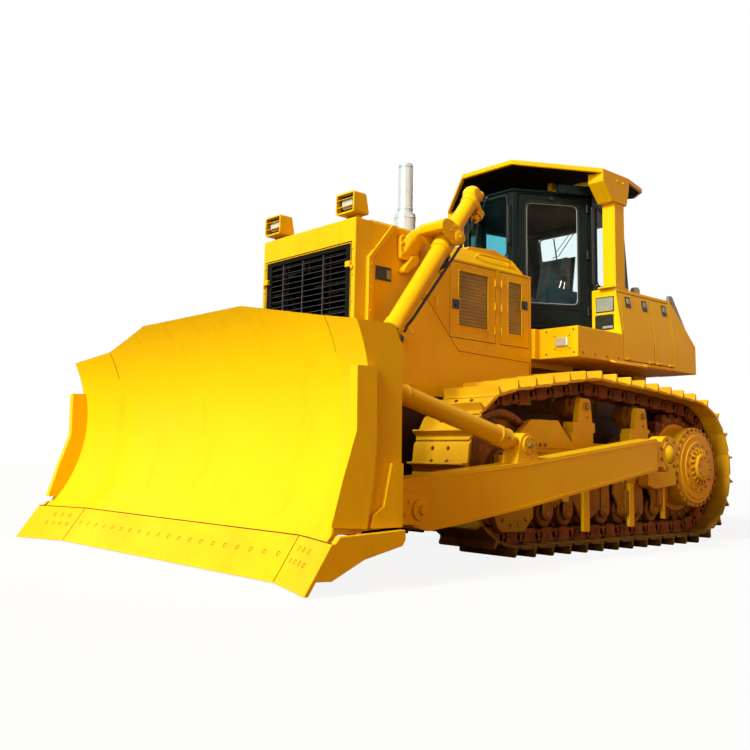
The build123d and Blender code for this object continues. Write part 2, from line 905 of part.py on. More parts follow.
pane_layer = cab_body((cab_wall - pane) / 2, (cab_floor, cab_top))
pane_layer -= cab_body((cab_wall + pane) / 2, (cab_floor - 1, cab_top + 1))
save("cab_glass", [pane_layer & hole for hole in window_holes])

door_along = (door_posts[0] + door_gap, door_end - door_gap)
window_along = (door_along[0] + door_window_sides[0], door_along[1] - door_window_sides[1])
pane_depth = ((cab_wall - pane) / 2, (cab_wall + pane) / 2)
door_leaf = on_wall(*door_wall, door_along, (door_bottom + door_gap, door_top - door_gap), (0, cab_wall))
door_leaf -= on_wall(*door_wall, window_along, door_window_z, through)
door_pane = on_wall(*door_wall, window_along, door_window_z, pane_depth)
save("cab_door_left", door_leaf)
save("cab_door_right", other_side(door_leaf))
save("door_glass_left", door_pane)
save("door_glass_right", other_side(door_pane))

floor_z = cab_floor + floor_plate
cushion_low = floor_z + seat_base_height
cushion_high = cushion_low + seat_cushion_height
back_top = cushion_high + seat_back_height
base_side = (-seat_half + seat_base_inset, seat_half - seat_base_inset)
base_x = (seat_rear_x + seat_base_inset, seat_rear_x + seat_base_length)
seat_base = block(base_x, base_side, (floor_z, cushion_low))
seat_cushion = block(
    (seat_rear_x, seat_rear_x + seat_length), (-seat_half, seat_half), (cushion_low, cushion_high)
)
seat_back = side_plate(
    (
        (seat_rear_x, cushion_high),
        (seat_rear_x + seat_back_depth, cushion_high),
        (seat_rear_x + seat_back_depth - seat_back_lean, back_top),
        (seat_rear_x + seat_back_taper - seat_back_lean, back_top),
    ),
    (-seat_half + seat_back_inset, seat_half - seat_back_inset),
)
save("seat", fused([seat_base, seat_cushion, seat_back]))
consoles = []
console_top = floor_z + console_height
for sign in (-1, 1):
    console_inner = seat_half + console_gap
    y = between(sign * console_inner, sign * (console_inner + console_width))
    console_x = (seat_rear_x + console_back, seat_rear_x + console_back + console_length)
    console = block(console_x, y, (floor_z, console_top))
    lever_y = sign * (console_inner + console_width / 2)
    lever_foot = (console_x[1] - lever_inset, lever_y, console_top)
    lever_tip = (lever_foot[0] + lever_lean, lever_y, console_top + lever_height)
    consoles.append(console + bar(lever_foot, lever_tip, lever_radius))
dash_top = floor_z + dash_height
dash_rear_x = cab_front_x - dash_back
consoles.append(
    side_plate(
        (
            (dash_rear_x, floor_z),
            (dash_rear_x + dash_depth, floor_z),
            (dash_rear_x + dash_depth, dash_top),
            (dash_rear_x + dash_slope, dash_top),
        ),
        (-seat_half, seat_half),
    )
)
save("cab_controls", consoles)


# ---- side boxes and tank ------------------------------------------------------------------
def box_outline(inset):
    """Front view of a side box: upright band, then a side that leans in to the top."""
    outer = fender_half - inset
    return (
        (fender_inner, fender_bottom),
        (outer, fender_bottom),
        (outer, fender_top),
        (outer - box_lean, box_top),
        (fender_inner, box_top),
    )


def rear_slope(y):
    """What is cut from the box's upper rear corner."""
    rear_x = box_rear_x - overshoot
    high = box_top + overshoot
    return side_plate(((box_slope_x, high), (rear_x, fender_top), (rear_x, high)), y)


cover_low = fender_bottom + cover_margins[0]
cover_high = box_top - cover_margins[1]
cover_ranges = {
    "front": (cover_seam_x + clearance, box_front_x - 40),
    "rear": (box_slope_x + 60, cover_seam_x - clearance),
}


def cover_zone(x_range, grow):
    """The space of one hinged cover, let into the box's outer side."""
    skin = front_plate(box_outline(0), (x_range[0] - grow, x_range[1] + grow))
    skin -= front_plate(box_outline(cover_thickness + grow), (x_range[0] - 100, x_range[1] + 100))
    keep = block(
        (x_range[0] - grow, x_range[1] + grow),
        (fender_half - box_lean - 200, fender_half + overshoot),
        (cover_low - grow, cover_high + grow),
    )
    return skin & keep


side_box = front_plate(box_outline(0), (box_rear_x, box_front_x)) - rear_slope((0, fender_half + overshoot))
side_box -= cab_block(-2 * clearance, (fender_top, box_top))
covers = {}
for name, x_range in cover_ranges.items():
    covers[name] = cover_zone(x_range, 0)
    side_box -= cover_zone(x_range, clearance)
save("side_box_left", side_box)
save("side_box_right", other_side(side_box))
for name, cover in covers.items():
    save("box_cover_" + name + "_left", cover)
    save("box_cover_" + name + "_right", other_side(cover))

tank = block((box_rear_x, cab_rear_x - 60), (-fender_inner, fender_inner), (fender_top, box_top))
tank -= rear_slope((-fender_inner - overshoot, fender_inner + overshoot))
save("fuel_tank", tank)


# ---- roll-over frame ----------------------------------------------------------------------
def roof():
    """A plate with a flat middle and sides that slope down, trimmed to its plan."""
    flat = roof_plan[0][1]
    edge = roof_plan[1][1]
    top = roof_z + roof_thickness
    upper = ((-edge, top - roof_crown), (-flat, top), (flat, top), (edge, top - roof_crown))
    lower = [(y, z - roof_thickness) for y, z in reversed(upper)]
    section = front_plate((*upper, *lower), (roof_plan[-1][0], roof_plan[0][0]))
    mirrored = [(x, -y) for x, y in reversed(roof_plan)]
    plan = plan_plate((*roof_plan, *mirrored), (roof_z - roof_crown - overshoot, top + overshoot))
    return section & plan


def post(sign):
    """A post on the side box with a head that spreads under the roof's edge."""
    inner = post_y - post_width / 2
    edge = roof_plan[1][1]
    x = (post_x - post_length / 2, post_x + post_length / 2)
    top = roof_z - roof_crown + 40
    stem = block(x, between(sign * inner, sign * (inner + post_width)), (box_top, top))
    head = side_plate(
        (
            (post_x - 120, head_bottom), (post_x + 140, head_bottom), (post_x + head_reach[0], head_knee),
            (post_x + head_reach[0], top), (post_x - head_reach[1], top), (post_x - head_reach[1], head_knee),
        ),
        between(sign * (inner - 20), sign * edge),
    )
    inner_head = block(
        (x[0] - 60, x[1] + 60), between(sign * (inner - 90), sign * (inner - 20)), (head_knee, top)
    )
    return fused([stem, head, inner_head])


beam_x = (post_x - post_length / 2, post_x + post_length / 2)
beam_z = (roof_z - roof_crown - 20, roof_z - roof_crown + 40)
cross_beam = block(beam_x, (-post_y, post_y), beam_z)
strut_y = (roof_plan[0][1] - 120, roof_plan[0][1] - 60)
left_strut = block(beam_x, strut_y, (beam_z[1], roof_z))
save("rops", fused([roof(), post(1), post(-1), cross_beam] + both(left_strut)))

# ---- lift yokes and cylinders -------------------------------------------------------------
lean = math.radians(cylinder_lean)
direction = (math.cos(lean), -math.sin(lean))
eye_x = trunnion_x + eye_distance * direction[0]
eye_z = trunnion_z + eye_distance * direction[1]


def on_cylinder(along, out=0):
    """A point on the left cylinder's axis, measured down from its trunnion, and out ahead of it."""
    x = trunnion_x + along * direction[0] - out * direction[1]
    z = trunnion_z + along * direction[1] + out * direction[0]
    return (x, cylinder_y, z)


inner_fork = (cylinder_y - fork_gap - fork_plate, cylinder_y - fork_gap)
outer_fork = (cylinder_y + fork_gap, cylinder_y + fork_gap + fork_plate)
pad_x = (trunnion_x + 110, trunnion_x + 330)
pad_z = (trunnion_z - 180, trunnion_z + 45)


def fork_arm(y):
    """One arm of the yoke: a ring round the trunnion that reaches forward to the bridge."""
    arm = side_plate(
        (
            (trunnion_x - 30, trunnion_z - 68),
            (trunnion_x + 60, trunnion_z - 60),
            (trunnion_x + 270, trunnion_z + 25),
            (trunnion_x + 270, trunnion_z + 110),
            (trunnion_x + 220, trunnion_z + 138),
            (trunnion_x - 40, trunnion_z + 64),
        ),
        y,
    )
    return arm + disc(trunnion_x, trunnion_z, trunnion_radius + 30, y)


def yoke():
    """A bracket on the hood side whose two arms hold the cylinder's trunnion pins."""
    pad = block(pad_x, (hood_half_width, hood_half_width + 45), pad_z)
    tie = side_plate(
        (
            (pad_x[0] + 30, pad_z[0] + 40),
            (pad_x[1] - 60, pad_z[0] + 120),
            (pad_x[1] - 60, pad_z[1] + 20),
            (pad_x[0] + 30, pad_z[1]),
        ),
        (hood_half_width + 45, inner_fork[1]),
    )
    rib = side_plate(
        (
            (pad_x[0] + 10, pad_z[0] - 10),
            (pad_x[1] - 40, pad_z[0] - 130),
            (pad_x[1] - 10, pad_z[0] - 90),
            (pad_x[0] + 60, pad_z[0] + 60),
            (pad_x[0] + 10, pad_z[0] + 60),
        ),
        (hood_half_width, hood_half_width + 90),
    )
    bridge = side_plate(
        (
            (trunnion_x + 180, trunnion_z + 30),
            (trunnion_x + 270, trunnion_z + 30),
            (trunnion_x + 270, trunnion_z + 110),
            (trunnion_x + 220, trunnion_z + 138),
            (trunnion_x + 180, trunnion_z + 126),
        ),
        (inner_fork[0], outer_fork[1]),
    )
    whole = fused([pad, tie, rib, fork_arm(inner_fork), fork_arm(outer_fork), bridge])
    pin_y = (inner_fork[0] - overshoot, outer_fork[1] + overshoot)
    return whole - disc(trunnion_x, trunnion_z, trunnion_radius, pin_y)


save("lift_yokes", both(yoke()))

head_along = -barrel_up - 75


def barrel():
    """Cylinder barrel with its wider sleeve, trunnion collar, cap and the inlet casting on top."""
    pieces = [
        bar(on_cylinder(-barrel_up), on_cylinder(0), barrel_radius),
        bar(on_cylinder(0), on_cylinder(barrel_down), sleeve_radius),
        bar(on_cylinder(-collar_radius), on_cylinder(collar_radius), collar_radius),
        bar(on_cylinder(-barrel_up - 25), on_cylinder(-barrel_up + 30), sleeve_radius),
        disc(trunnion_x, trunnion_z, trunnion_radius - fit, (inner_fork[0], outer_fork[1])),
        Pos(*on_cylinder(head_along, 25)) * Sphere(barrel_radius + 8),
        bar(on_cylinder(head_along, 20), on_cylinder(head_along - 70, -60), 48),
        bar(on_cylinder(head_along, 0), on_cylinder(head_along + 60, -135), 42),
        bar(on_cylinder(head_along + 20, -140), on_cylinder(head_along + 170, -140), 34),
        bar(on_cylinder(head_along + 60, -140), on_cylinder(head_along + 90, -140), 52),
    ]
    bore = bar(on_cylinder(60 - barrel_up), on_cylinder(barrel_down + overshoot), rod_radius + fit)
    return fused(pieces) - bore


left_barrel = barrel()
save("lift_barrel_left", left_barrel)
save("lift_barrel_right", other_side(left_barrel))

rod = bar(on_cylinder(550), on_cylinder(eye_distance - eye_radius * 0.6), rod_radius)
rod += disc(eye_x, eye_z, eye_radius, (cylinder_y - eye_width / 2, cylinder_y + eye_width / 2))
save("lift_rod_left", rod)
save("lift_rod_right", other_side(rod))


# ---- push arms and braces -----------------------------------------------------------------
brace_foot = (3215, 905)
brace_head = (4750, 1280)
brace_radius = 70
brace_rod_radius = 45
arm_side = (arm_y - arm_width / 2, arm_y + arm_width / 2)
cap_side = (arm_side[0] + 25, arm_side[1] - 25)
socket_gap = 2


def push_arm():
    """The left push arm: tapered box, bearing cap round the ball, and the brace's bracket."""
    cap = disc(lift_pivot_x, lift_pivot_z, 165, cap_side)
    neck = block((lift_pivot_x, arm_outline[0][0] + 30), cap_side, (lift_pivot_z - 120, lift_pivot_z + 110))
    flange = block(
        (arm_outline[0][0] - 30, arm_outline[0][0]), (arm_side[0] + 8, arm_side[1] - 8), (735, 1000)
    )
    lug_side = (arm_y - 75, arm_y + 75)
    lug = disc(*brace_foot, 95, lug_side)
    lug += side_plate(
        (
            (brace_foot[0] - 145, 700), (brace_foot[0] + 155, 680), (brace_foot[0] + 92, brace_foot[1] + 25),
            (brace_foot[0] - 92, brace_foot[1] + 25),
        ),
        lug_side,
    )
    whole = fused([side_plate(arm_outline, arm_side), cap, neck, flange, lug])
    whole -= Pos(lift_pivot_x, arm_y, lift_pivot_z) * Sphere(ball_radius + socket_gap)
    return whole - disc(lift_pivot_x, lift_pivot_z, 60 + 2 * clearance, (arm_side[0] - 40, arm_y))


left_arm = push_arm()
save("push_arms", both(left_arm))

brace_run = math.dist(brace_foot, brace_head)


def on_brace(along):
    """A point on the left brace's axis, from its foot towards the blade."""
    share = along / brace_run
    x = brace_foot[0] + share * (brace_head[0] - brace_foot[0])
    z = brace_foot[1] + share * (brace_head[1] - brace_foot[1])
    return (x, arm_y, z)


brace = fused(
    [
        bar(on_brace(60), on_brace(240), brace_rod_radius),
        bar(on_brace(180), on_brace(300), brace_radius + 8),
        bar(on_brace(240), on_brace(brace_run), brace_radius),
        disc(*brace_head, brace_radius + 15, (arm_y - brace_radius + 4, arm_y + brace_radius - 4)),
    ]
)
head_pin_radius = 40
brace -= disc(*brace_head, head_pin_radius, (arm_y - 110, arm_y + 110))
save("braces", both(brace - left_arm))


# ---- blade --------------------------------------------------------------------------------
def mold_arc():
    """The moldboard's concave curve in side view, as a circle's middle and radius."""
    (ax, az), (bx, bz), (cx, cz) = (moldboard_top_x, blade_top), moldboard_mid, edge_top
    turn = 2 * (ax * (bz - cz) + bx * (cz - az) + cx * (az - bz))
    sums = [ax**2 + az**2, bx**2 + bz**2, cx**2 + cz**2]
    x = (sums[0] * (bz - cz) + sums[1] * (cz - az) + sums[2] * (az - bz)) / turn
    z = (sums[0] * (cx - bx) + sums[1] * (ax - cx) + sums[2] * (bx - ax)) / turn
    return x, z, math.hypot(ax - x, az - z)


arc_x, arc_z, arc_radius = mold_arc()
wing_turn = math.radians(wing_angle)


def mold_x(z, back=0):
    """How far ahead the moldboard's face, or a layer behind it, is at a height."""
    return arc_x - math.sqrt((arc_radius + back) ** 2 - (z - arc_z) ** 2)


def mold_section(back_front, back_rear, low, high):
    """A curved strip in side view between two layers of the moldboard."""
    mid = (low + high) / 2
    front = [(mold_x(z, back_front), z) for z in (low, mid, high)]
    rear = [(mold_x(z, back_rear), z) for z in (high, mid, low)]
    lines = ThreePointArc(*front) + Line(front[2], rear[0]) + ThreePointArc(*rear) + Line(rear[2], front[0])
    return make_face(Plane.XZ * lines)


def straight_piece(face, half):
    """A section drawn across the straight middle of the blade."""
    return extrude(Pos(0, half, 0) * face, amount=2 * half, dir=(0, -1, 0))


def wing_piece(face, half):
    """A section drawn out along the left wing, from the knee to a distance from the middle."""
    along = Vector(math.sin(wing_turn), math.cos(wing_turn), 0)
    return extrude(Pos(0, blade_knee, 0) * face, amount=(half - blade_knee) / math.cos(wing_turn), dir=along)


def across_blade(face, half):
    """A section over the whole blade: its straight middle and both wings."""
    wing = wing_piece(face, half)
    return fused([straight_piece(face, blade_knee), wing, other_side(wing)])


def mold_plate(points, middle_y, out, thickness):
    """A pair of plates behind the moldboard, on both sides of a middle line."""
    plates = []
    for side in (-1, 1):
        inner = middle_y + side * out
        plates.append(side_plate(points, between(inner, inner + side * thickness)))
    return plates


# how far ahead the moldboard's top is at its end, and the edge's top at its tip
wing_end_x = moldboard_top_x + (blade_half - blade_knee) * math.tan(wing_turn)
edge_tip_x = edge_top[0] + (tip_half - blade_knee) * math.tan(wing_turn)
# the blade's outer end in side view, X from there, as plates one outside the other
end_plate = (
    (-177, 1612), (-266, 1353), (-292, 1075), (-252, 700), (-102, 339), (-552, 359), (-540, 1492),
    (-481, 1596), (-410, 1648),
)
end_strip = (
    (-137, 1330), (-297, 1335), (-307, 886), (-288, 647), (-240, 360), (35, 375), (-45, 647),
    (-144, 940),
)
end_gusset = (
    (-437, 750), (-532, 750), (-532, 360), (-276, 360), (-297, 440), (-377, 486),
)
bit_foot = (
    (-62, 326), (-578, 349), (-580, 289), (-555, 254), (-251, 189), (-7, 82), (113, 87),
    (-22, 286),
)
end_thickness = 35
arm_pin = (4467, 444)
arm_ear = ((5030, 590), (4630, 566), (4506, 549), (4421, 529), (4385, 489), (4372, 409), (4418, 364),
           (4465, 346), (5000, 370), (5180, 345))
low_beam = (330, 600)
high_beam = (1330, 1560)
rib_places = (360, 1290)
rib_thickness = 30


def from_x(points, x):
    """An outline whose X values are counted from a place."""
    return [(x + ahead, z) for ahead, z in points]


def lift_clevis():
    """Ears on both sides of the lift rod's eye, from the moldboard's back."""
    points = (
        (eye_x - 60, eye_z + 100),
        (eye_x - 115, eye_z),
        (eye_x - 60, eye_z - 100),
        (mold_x(450, 130), 450),
        (mold_x(450, 24), 450),
        (mold_x(eye_z, 24), eye_z),
        (mold_x(1150, 24), 1150),
        (mold_x(1150, 90), 1150),
    )
    return mold_plate(points, cylinder_y, eye_width / 2 + 10, 40)


def brace_ears():
    """Ears on both sides of the brace's head."""
    points = (
        (brace_head[0] - 60, brace_head[1] - 60),
        (mold_x(1150, 10), 1150),
        (mold_x(1450, 10), 1450),
        (brace_head[0] - 60, brace_head[1] + 60),
    )
    return mold_plate(points, arm_y, brace_radius + clearance, rib_thickness)


def moldboard():
    """Curved plate with two wings, beams, ribs and ears behind it, and its built-up ends."""
    board = across_blade(mold_section(0, moldboard_plate, edge_top[1], blade_top), blade_half)
    beams = [
        across_blade(mold_section(moldboard_plate, moldboard_plate + depth, *heights), blade_half)
        for heights, depth in ((low_beam, 150), (high_beam, 110))
    ]
    rib = mold_section(moldboard_plate / 2, moldboard_plate + 130, low_beam[0], high_beam[1])
    ribs = [extrude(Pos(0, y, 0) * rib, amount=rib_thickness, dir=(0, 1, 0)) for y in rib_places]
    left = ribs + lift_clevis() + brace_ears() + mold_plate(arm_ear, arm_y, arm_width / 2 + clearance, 45)
    end_y = (blade_half - end_thickness, blade_half)
    left.append(side_plate(from_x(end_plate, wing_end_x), end_y))
    left.append(side_plate(from_x(end_strip, wing_end_x), (end_y[0], blade_half + end_thickness)))
    left.append(side_plate(from_x(end_gusset, wing_end_x), (end_y[0], blade_half + end_thickness)))
    left.append(disc(*brace_head, head_pin_radius - fit, (arm_y - 110, arm_y + 110)))
    ear_outer = arm_y + arm_width / 2 + clearance + 45
    left.append(disc(*arm_pin, 70, (ear_outer, ear_outer + 18)))
    whole = fused([board, *beams, *left, *[other_side(piece) for piece in left]])
    fall = (blade_top - wing_top) / (blade_half - blade_flat_half)
    slope = front_plate(
        (
            (blade_flat_half, blade_top + overshoot),
            (blade_flat_half, blade_top),
            (tip_half, wing_top - edge_overhang * fall),
            (tip_half, blade_top + overshoot),
        ),
        (arm_pin[0], wing_tip_x),
    )
    slot = block(
        (mold_x(arc_z, 200), wing_tip_x), (blade_knee, blade_knee + knee_slot), (knee_slot_bottom, blade_top)
    )
    for cut in (slope, slot):
        whole = whole - cut - other_side(cut)
    return whole


save("moldboard", moldboard())

edge_dir = (edge_bottom[0] - edge_top[0], edge_bottom[1] - edge_top[1])
edge_back = edge_thickness * edge_dir[1] / math.hypot(*edge_dir)
edge_section = make_face(
    Plane.XZ
    * Polyline(
        edge_top,
        edge_bottom,
        (edge_bottom[0] + edge_back, edge_bottom[1]),
        (edge_top[0] + edge_back, edge_top[1]),
        close=True,
    )
)
foot = side_plate(from_x(bit_foot, edge_tip_x), (tip_half - edge_overhang / 2, tip_half))
save("cutting_edges", fused([across_blade(edge_section, tip_half), foot, other_side(foot)]))
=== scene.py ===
"""Looks of a large crawler bulldozer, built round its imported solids.

Lengths are metres. Pieces are drawn in the machine's own frame, with X forward from the sprocket
axle, Y to the driver's left and Z up from the ground, and are moved to the row frame when placed.
"""

from __future__ import annotations

import logging
import math
from dataclasses import dataclass, field
from enum import Enum
from itertools import product
from typing import Sequence

import bmesh
import bpy
from mathutils import Matrix, Vector


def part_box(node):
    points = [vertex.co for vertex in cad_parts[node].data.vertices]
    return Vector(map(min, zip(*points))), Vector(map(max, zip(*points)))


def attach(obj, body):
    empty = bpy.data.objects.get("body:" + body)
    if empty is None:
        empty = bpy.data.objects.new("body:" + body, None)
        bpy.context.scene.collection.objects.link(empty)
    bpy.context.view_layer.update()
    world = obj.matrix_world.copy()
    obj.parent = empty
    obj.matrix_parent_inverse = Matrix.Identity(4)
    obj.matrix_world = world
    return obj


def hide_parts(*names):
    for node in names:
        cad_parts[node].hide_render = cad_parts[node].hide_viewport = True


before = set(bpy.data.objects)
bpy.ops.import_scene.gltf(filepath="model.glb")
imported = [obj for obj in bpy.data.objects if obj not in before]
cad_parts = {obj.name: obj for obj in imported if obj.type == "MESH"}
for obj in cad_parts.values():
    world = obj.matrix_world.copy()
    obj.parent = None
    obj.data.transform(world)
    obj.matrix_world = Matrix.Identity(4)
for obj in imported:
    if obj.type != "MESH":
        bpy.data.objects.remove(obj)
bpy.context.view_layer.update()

log = logging.getLogger("bulldozer")

Point = tuple[float, float, float]
Flat = tuple[float, float]
EXHAUST_X = 2.88
LONGEST_BEND = 0.48
THINNEST = 1e-4
FLAT_ANGLE = math.radians(0.5)
CAD_SHIFT = (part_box("exhaust_stack")[0].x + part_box("exhaust_stack")[1].x) / 2 - EXHAUST_X


class Body(Enum):
    """The moving bodies that pieces ride on."""

    MACHINE = "machine"
    BLADE = "blade"
    BARREL = "barrel"
    ROD = "rod"
    DOOR = "door"
    PANEL_FRONT = "engine_panel_front"
    PANEL_REAR = "engine_panel_rear"
    COVER_FRONT = "cover_front"
    COVER_REAR = "cover_rear"

    def on(self, side: Side) -> str:
        """Name of the body on one side of the machine."""
        return f"{self.value}_{side.value}"


class Side(Enum):
    """The machine's two sides."""

    LEFT = "left"
    RIGHT = "right"

    @property
    def sign(self) -> int:
        """Direction of the side along Y."""
        return 1 if self is Side.LEFT else -1


class Plane(Enum):
    """The plane that an outline is drawn in, before it is drawn out square to it."""

    SIDE = (0, 2, 1)
    PLAN = (0, 1, 2)
    FRONT = (1, 2, 0)

    def point(self, a: float, b: float, out: float) -> Vector:
        """A point from its two values in the plane and its distance along the third axis."""
        made = Vector((0, 0, 0))
        first, second, third = self.value
        made[first], made[second], made[third] = a, b, out
        return made


def spread(start: float, end: float, count: int) -> list[float]:
    """Evenly spaced values, both ends among them."""
    return [start + (end - start) * index / max(count - 1, 1) for index in range(count)]


def span(side: int, low: float, high: float) -> Flat:
    """Two distances from the machine's middle, on one side of it, in rising order."""
    return min(side * low, side * high), max(side * low, side * high)


def shrunk(points: Sequence[Flat], middle: Flat, share: Flat) -> list[Flat]:
    """An outline drawn in towards its middle, by its own share each way."""
    (a0, b0), (wide, tall) = middle, share
    return [((a - a0) * wide + a0, (b - b0) * tall + b0) for a, b in points]


def sided(side: int, *points: Point) -> list[Point]:
    """Points of the left side, or the same ones mirrored to the right."""
    return [(x, side * y, z) for x, y, z in points]


def turns(count: int, start: float = 0.0) -> list[float]:
    """Evenly spaced angles round a circle, begun a share of a step on."""
    return [2 * math.pi * (index + start) / count for index in range(count)]


def circle(centre: Flat, radius: float, angles: Sequence[float]) -> list[Flat]:
    """Points of a circle in a flat view."""
    return [(centre[0] + radius * math.cos(angle), centre[1] + radius * math.sin(angle)) for angle in angles]


def spokes(way: Vector, across: Vector, count: int) -> list[Vector]:
    """Evenly spaced directions round an axis, from one that is square to it."""
    other = way.cross(across)
    return [across * math.cos(angle) + other * math.sin(angle) for angle in turns(count)]


def bend(corner: Vector, before: Vector, after: Vector, steps: int) -> list[Vector]:
    """The curve that rounds a corner, from a point before it to one after it."""
    return [before * (1 - t) ** 2 + corner * 2 * t * (1 - t) + after * t**2 for t in spread(0, 1, steps + 1)]


def rounded(points: Sequence[Flat], radius: float | Sequence[float], steps: int = 4) -> list[Flat]:
    """An outline with its corners rounded by arcs.

    Args:
        points: corners of the closed outline.
        radius: one radius for all corners, or one for each.
        steps: number of runs in each arc.

    Returns:
        The corners of the rounded outline.
    """
    radii = [radius] * len(points) if isinstance(radius, (int, float)) else list(radius)
    made: list[Flat] = []
    for index, corner in enumerate(points):
        here = Vector(corner)
        before = Vector(points[index - 1]) - here
        after = Vector(points[(index + 1) % len(points)]) - here
        reach = radii[index] / math.tan(before.angle(after) / 2)
        reach = min(reach, before.length * LONGEST_BEND, after.length * LONGEST_BEND)
        start, end = here + before.normalized() * reach, here + after.normalized() * reach
        made += [tuple(point) for point in bend(here, start, end, steps)]
    return made


def oblong(first: Flat, second: Flat, radius: float, steps: int = 4) -> list[Flat]:
    """A rectangle with rounded corners, from its two values each way."""
    (a, b), (low, high) = first, second
    return rounded([(a, low), (b, low), (b, high), (a, high)], radius, steps)


def smooth_path(points: Sequence[Point], radius: float, steps: int = 6) -> list[Vector]:
    """A pipe's path with its corners bent to an arc.

    Args:
        points: corners of the path, in order.
        radius: how far before and after a corner the bend reaches.
        steps: runs in each bend.

    Returns:
        Points along the bent path.
    """
    corners = [Vector(point) for point in points]
    made = [corners[0]]
    for before, here, after in zip(corners, corners[1:], corners[2:]):
        reach = min(radius, (before - here).length * LONGEST_BEND, (after - here).length * LONGEST_BEND)
        start, end = (here + (other - here).normalized() * reach for other in (before, after))
        made += bend(here, start, end, steps)
    return made + [corners[-1]]


@dataclass
class Shape:
    """A mesh under construction in the machine's frame."""

    mesh: bmesh.types.BMesh = field(default_factory=bmesh.new)

    def face(self, verts: Sequence[bmesh.types.BMVert]) -> None:
        """Adds a face unless it is there already."""
        try:
            self.mesh.faces.new(verts)
        except ValueError:
            pass

    def join(self, low: Sequence[bmesh.types.BMVert], high: Sequence[bmesh.types.BMVert]) -> None:
        """Adds the faces between two loops with as many points each."""
        for index in range(len(low)):
            after = (index + 1) % len(low)
            self.face((low[index], low[after], high[after], high[index]))

    def loft(self, rings: Sequence[Sequence[Vector]], caps: bool = True) -> Shape:
        """Joins closed rings of points into a skin.

        Args:
            rings: point loops with as many points each.
            caps: whether the first and last loops get a face.

        Returns:
            This shape.
        """
        rows = [[self.mesh.verts.new(point) for point in ring] for ring in rings]
        for low, high in zip(rows, rows[1:]):
            self.join(low, high)
        if caps:
            self.face(rows[0][::-1])
            self.face(rows[-1])
        return self

    def prism(self, points: Sequence[Flat], plane: Plane, low: float, high: float) -> Shape:
        """An outline drawn out between two values along the third axis."""
        return self.stack(plane, (low, points), (high, points))

    def stack(self, plane: Plane, *layers: tuple[float, Sequence[Flat]]) -> Shape:
        """Outlines in parallel planes, each at its value along the third axis, joined into a skin."""
        return self.loft([[plane.point(a, b, out) for a, b in points] for out, points in layers])

    def box(self, x: Flat, y: Flat, z: Flat) -> Shape:
        """A box between two values on each axis."""
        (west, east), (low, high) = x, y
        return self.prism([(west, low), (east, low), (east, high), (west, high)], Plane.PLAN, *z)

    def turned(self, profile: Sequence[Flat], centre: Point, axis: Point, steps: int = 32) -> Shape:
        """A profile turned about an axis.

        Args:
            profile: pairs of the distance along the axis and the radius.
            centre: where the axis starts.
            axis: the axis's direction.
            steps: sides of the turned form.

        Returns:
            This shape.
        """
        way, start = Vector(axis).normalized(), Vector(centre)
        round_about = spokes(way, way.orthogonal().normalized(), steps)
        return self.loft([[start + way * along + spoke * max(radius, THINNEST) for spoke in round_about]
                          for along, radius in profile])

    def ring(self, centre: Point, axis: Point, radii: Flat, depth: Flat, steps: int = 32) -> Shape:
        """A flat ring with a bore, between two distances along its axis."""
        (inner, outer), (low, high) = radii, depth
        way, start = Vector(axis).normalized(), Vector(centre)
        round_about = spokes(way, way.orthogonal().normalized(), steps)
        rows = [[self.mesh.verts.new(start + way * along + spoke * radius) for spoke in round_about]
                for along, radius in ((low, inner), (low, outer), (high, outer), (high, inner))]
        for here, there in zip(rows, rows[1:] + rows[:1]):
            self.join(here, there)
        return self

    def sweep(self, points: Sequence[Vector], radii: Sequence[float], sides: int) -> Shape:
        """A round section drawn along a path, with its own radius at each point."""
        across = (points[1] - points[0]).normalized().orthogonal().normalized()
        rings = []
        for index, (point, radius) in enumerate(zip(points, radii)):
            way = (points[min(index + 1, len(points) - 1)] - points[max(index - 1, 0)]).normalized()
            across = (across - way * across.dot(way)).normalized()
            rings.append([point + spoke * radius for spoke in spokes(way, across, sides)])
        return self.loft(rings)

    def tube(self, path: Sequence[Point], radius: float, sides: int = 12, reach: float = 0.0) -> Shape:
        """A round tube along a path, with its corners bent if a reach is given."""
        points = smooth_path(path, reach) if reach else [Vector(point) for point in path]
        return self.sweep(points, [radius] * len(points), sides)

    def hoop(self, path: Sequence[Point], radius: float, sides: int) -> Shape:
        """A round tube along a closed path."""
        return self.tube([*path, path[0]], radius, sides)

    def bolt(self, at: Point, axis: Point, size: float = 0.012, washer: bool = True) -> Shape:
        """A hexagon bolt head on a washer.

        Args:
            at: middle of the seat.
            axis: the way that the head stands out.
            size: radius of the head.
            washer: whether a washer lies under it.

        Returns:
            This shape.
        """
        if washer:
            self.turned([(0, 1.45 * size), (0.22 * size, 1.45 * size)], at, axis, 14)
        foot = 0.22 * size if washer else 0
        profile = [(foot, size), (foot + 0.62 * size, size), (foot + 0.8 * size, 0.82 * size)]
        return self.turned(profile, at, axis, 6)

    def dome(self, at: Point, axis: Point, radius: float, rise: float, steps: int = 12) -> Shape:
        """A shallow domed head."""
        profile = [(0, radius), (0.45 * rise, radius * 0.94), (0.8 * rise, radius * 0.7),
                   (rise, radius * 0.3)]
        return self.turned(profile, at, axis, steps)

    def bead(self, path: Sequence[Point], radius: float = 0.006) -> Shape:
        """A weld bead: a thin rope whose thickness ripples along its length."""
        points = [Vector(point) for point in path]
        run = [points[0]]
        for here, there in zip(points, points[1:]):
            count = max(2, int((there - here).length / (radius * 2.2)))
            run += [here.lerp(there, (index + 1) / count) for index in range(count)]
        return self.sweep(run, [radius * (1.12 if index % 2 else 0.9) for index in range(len(run))], 5)

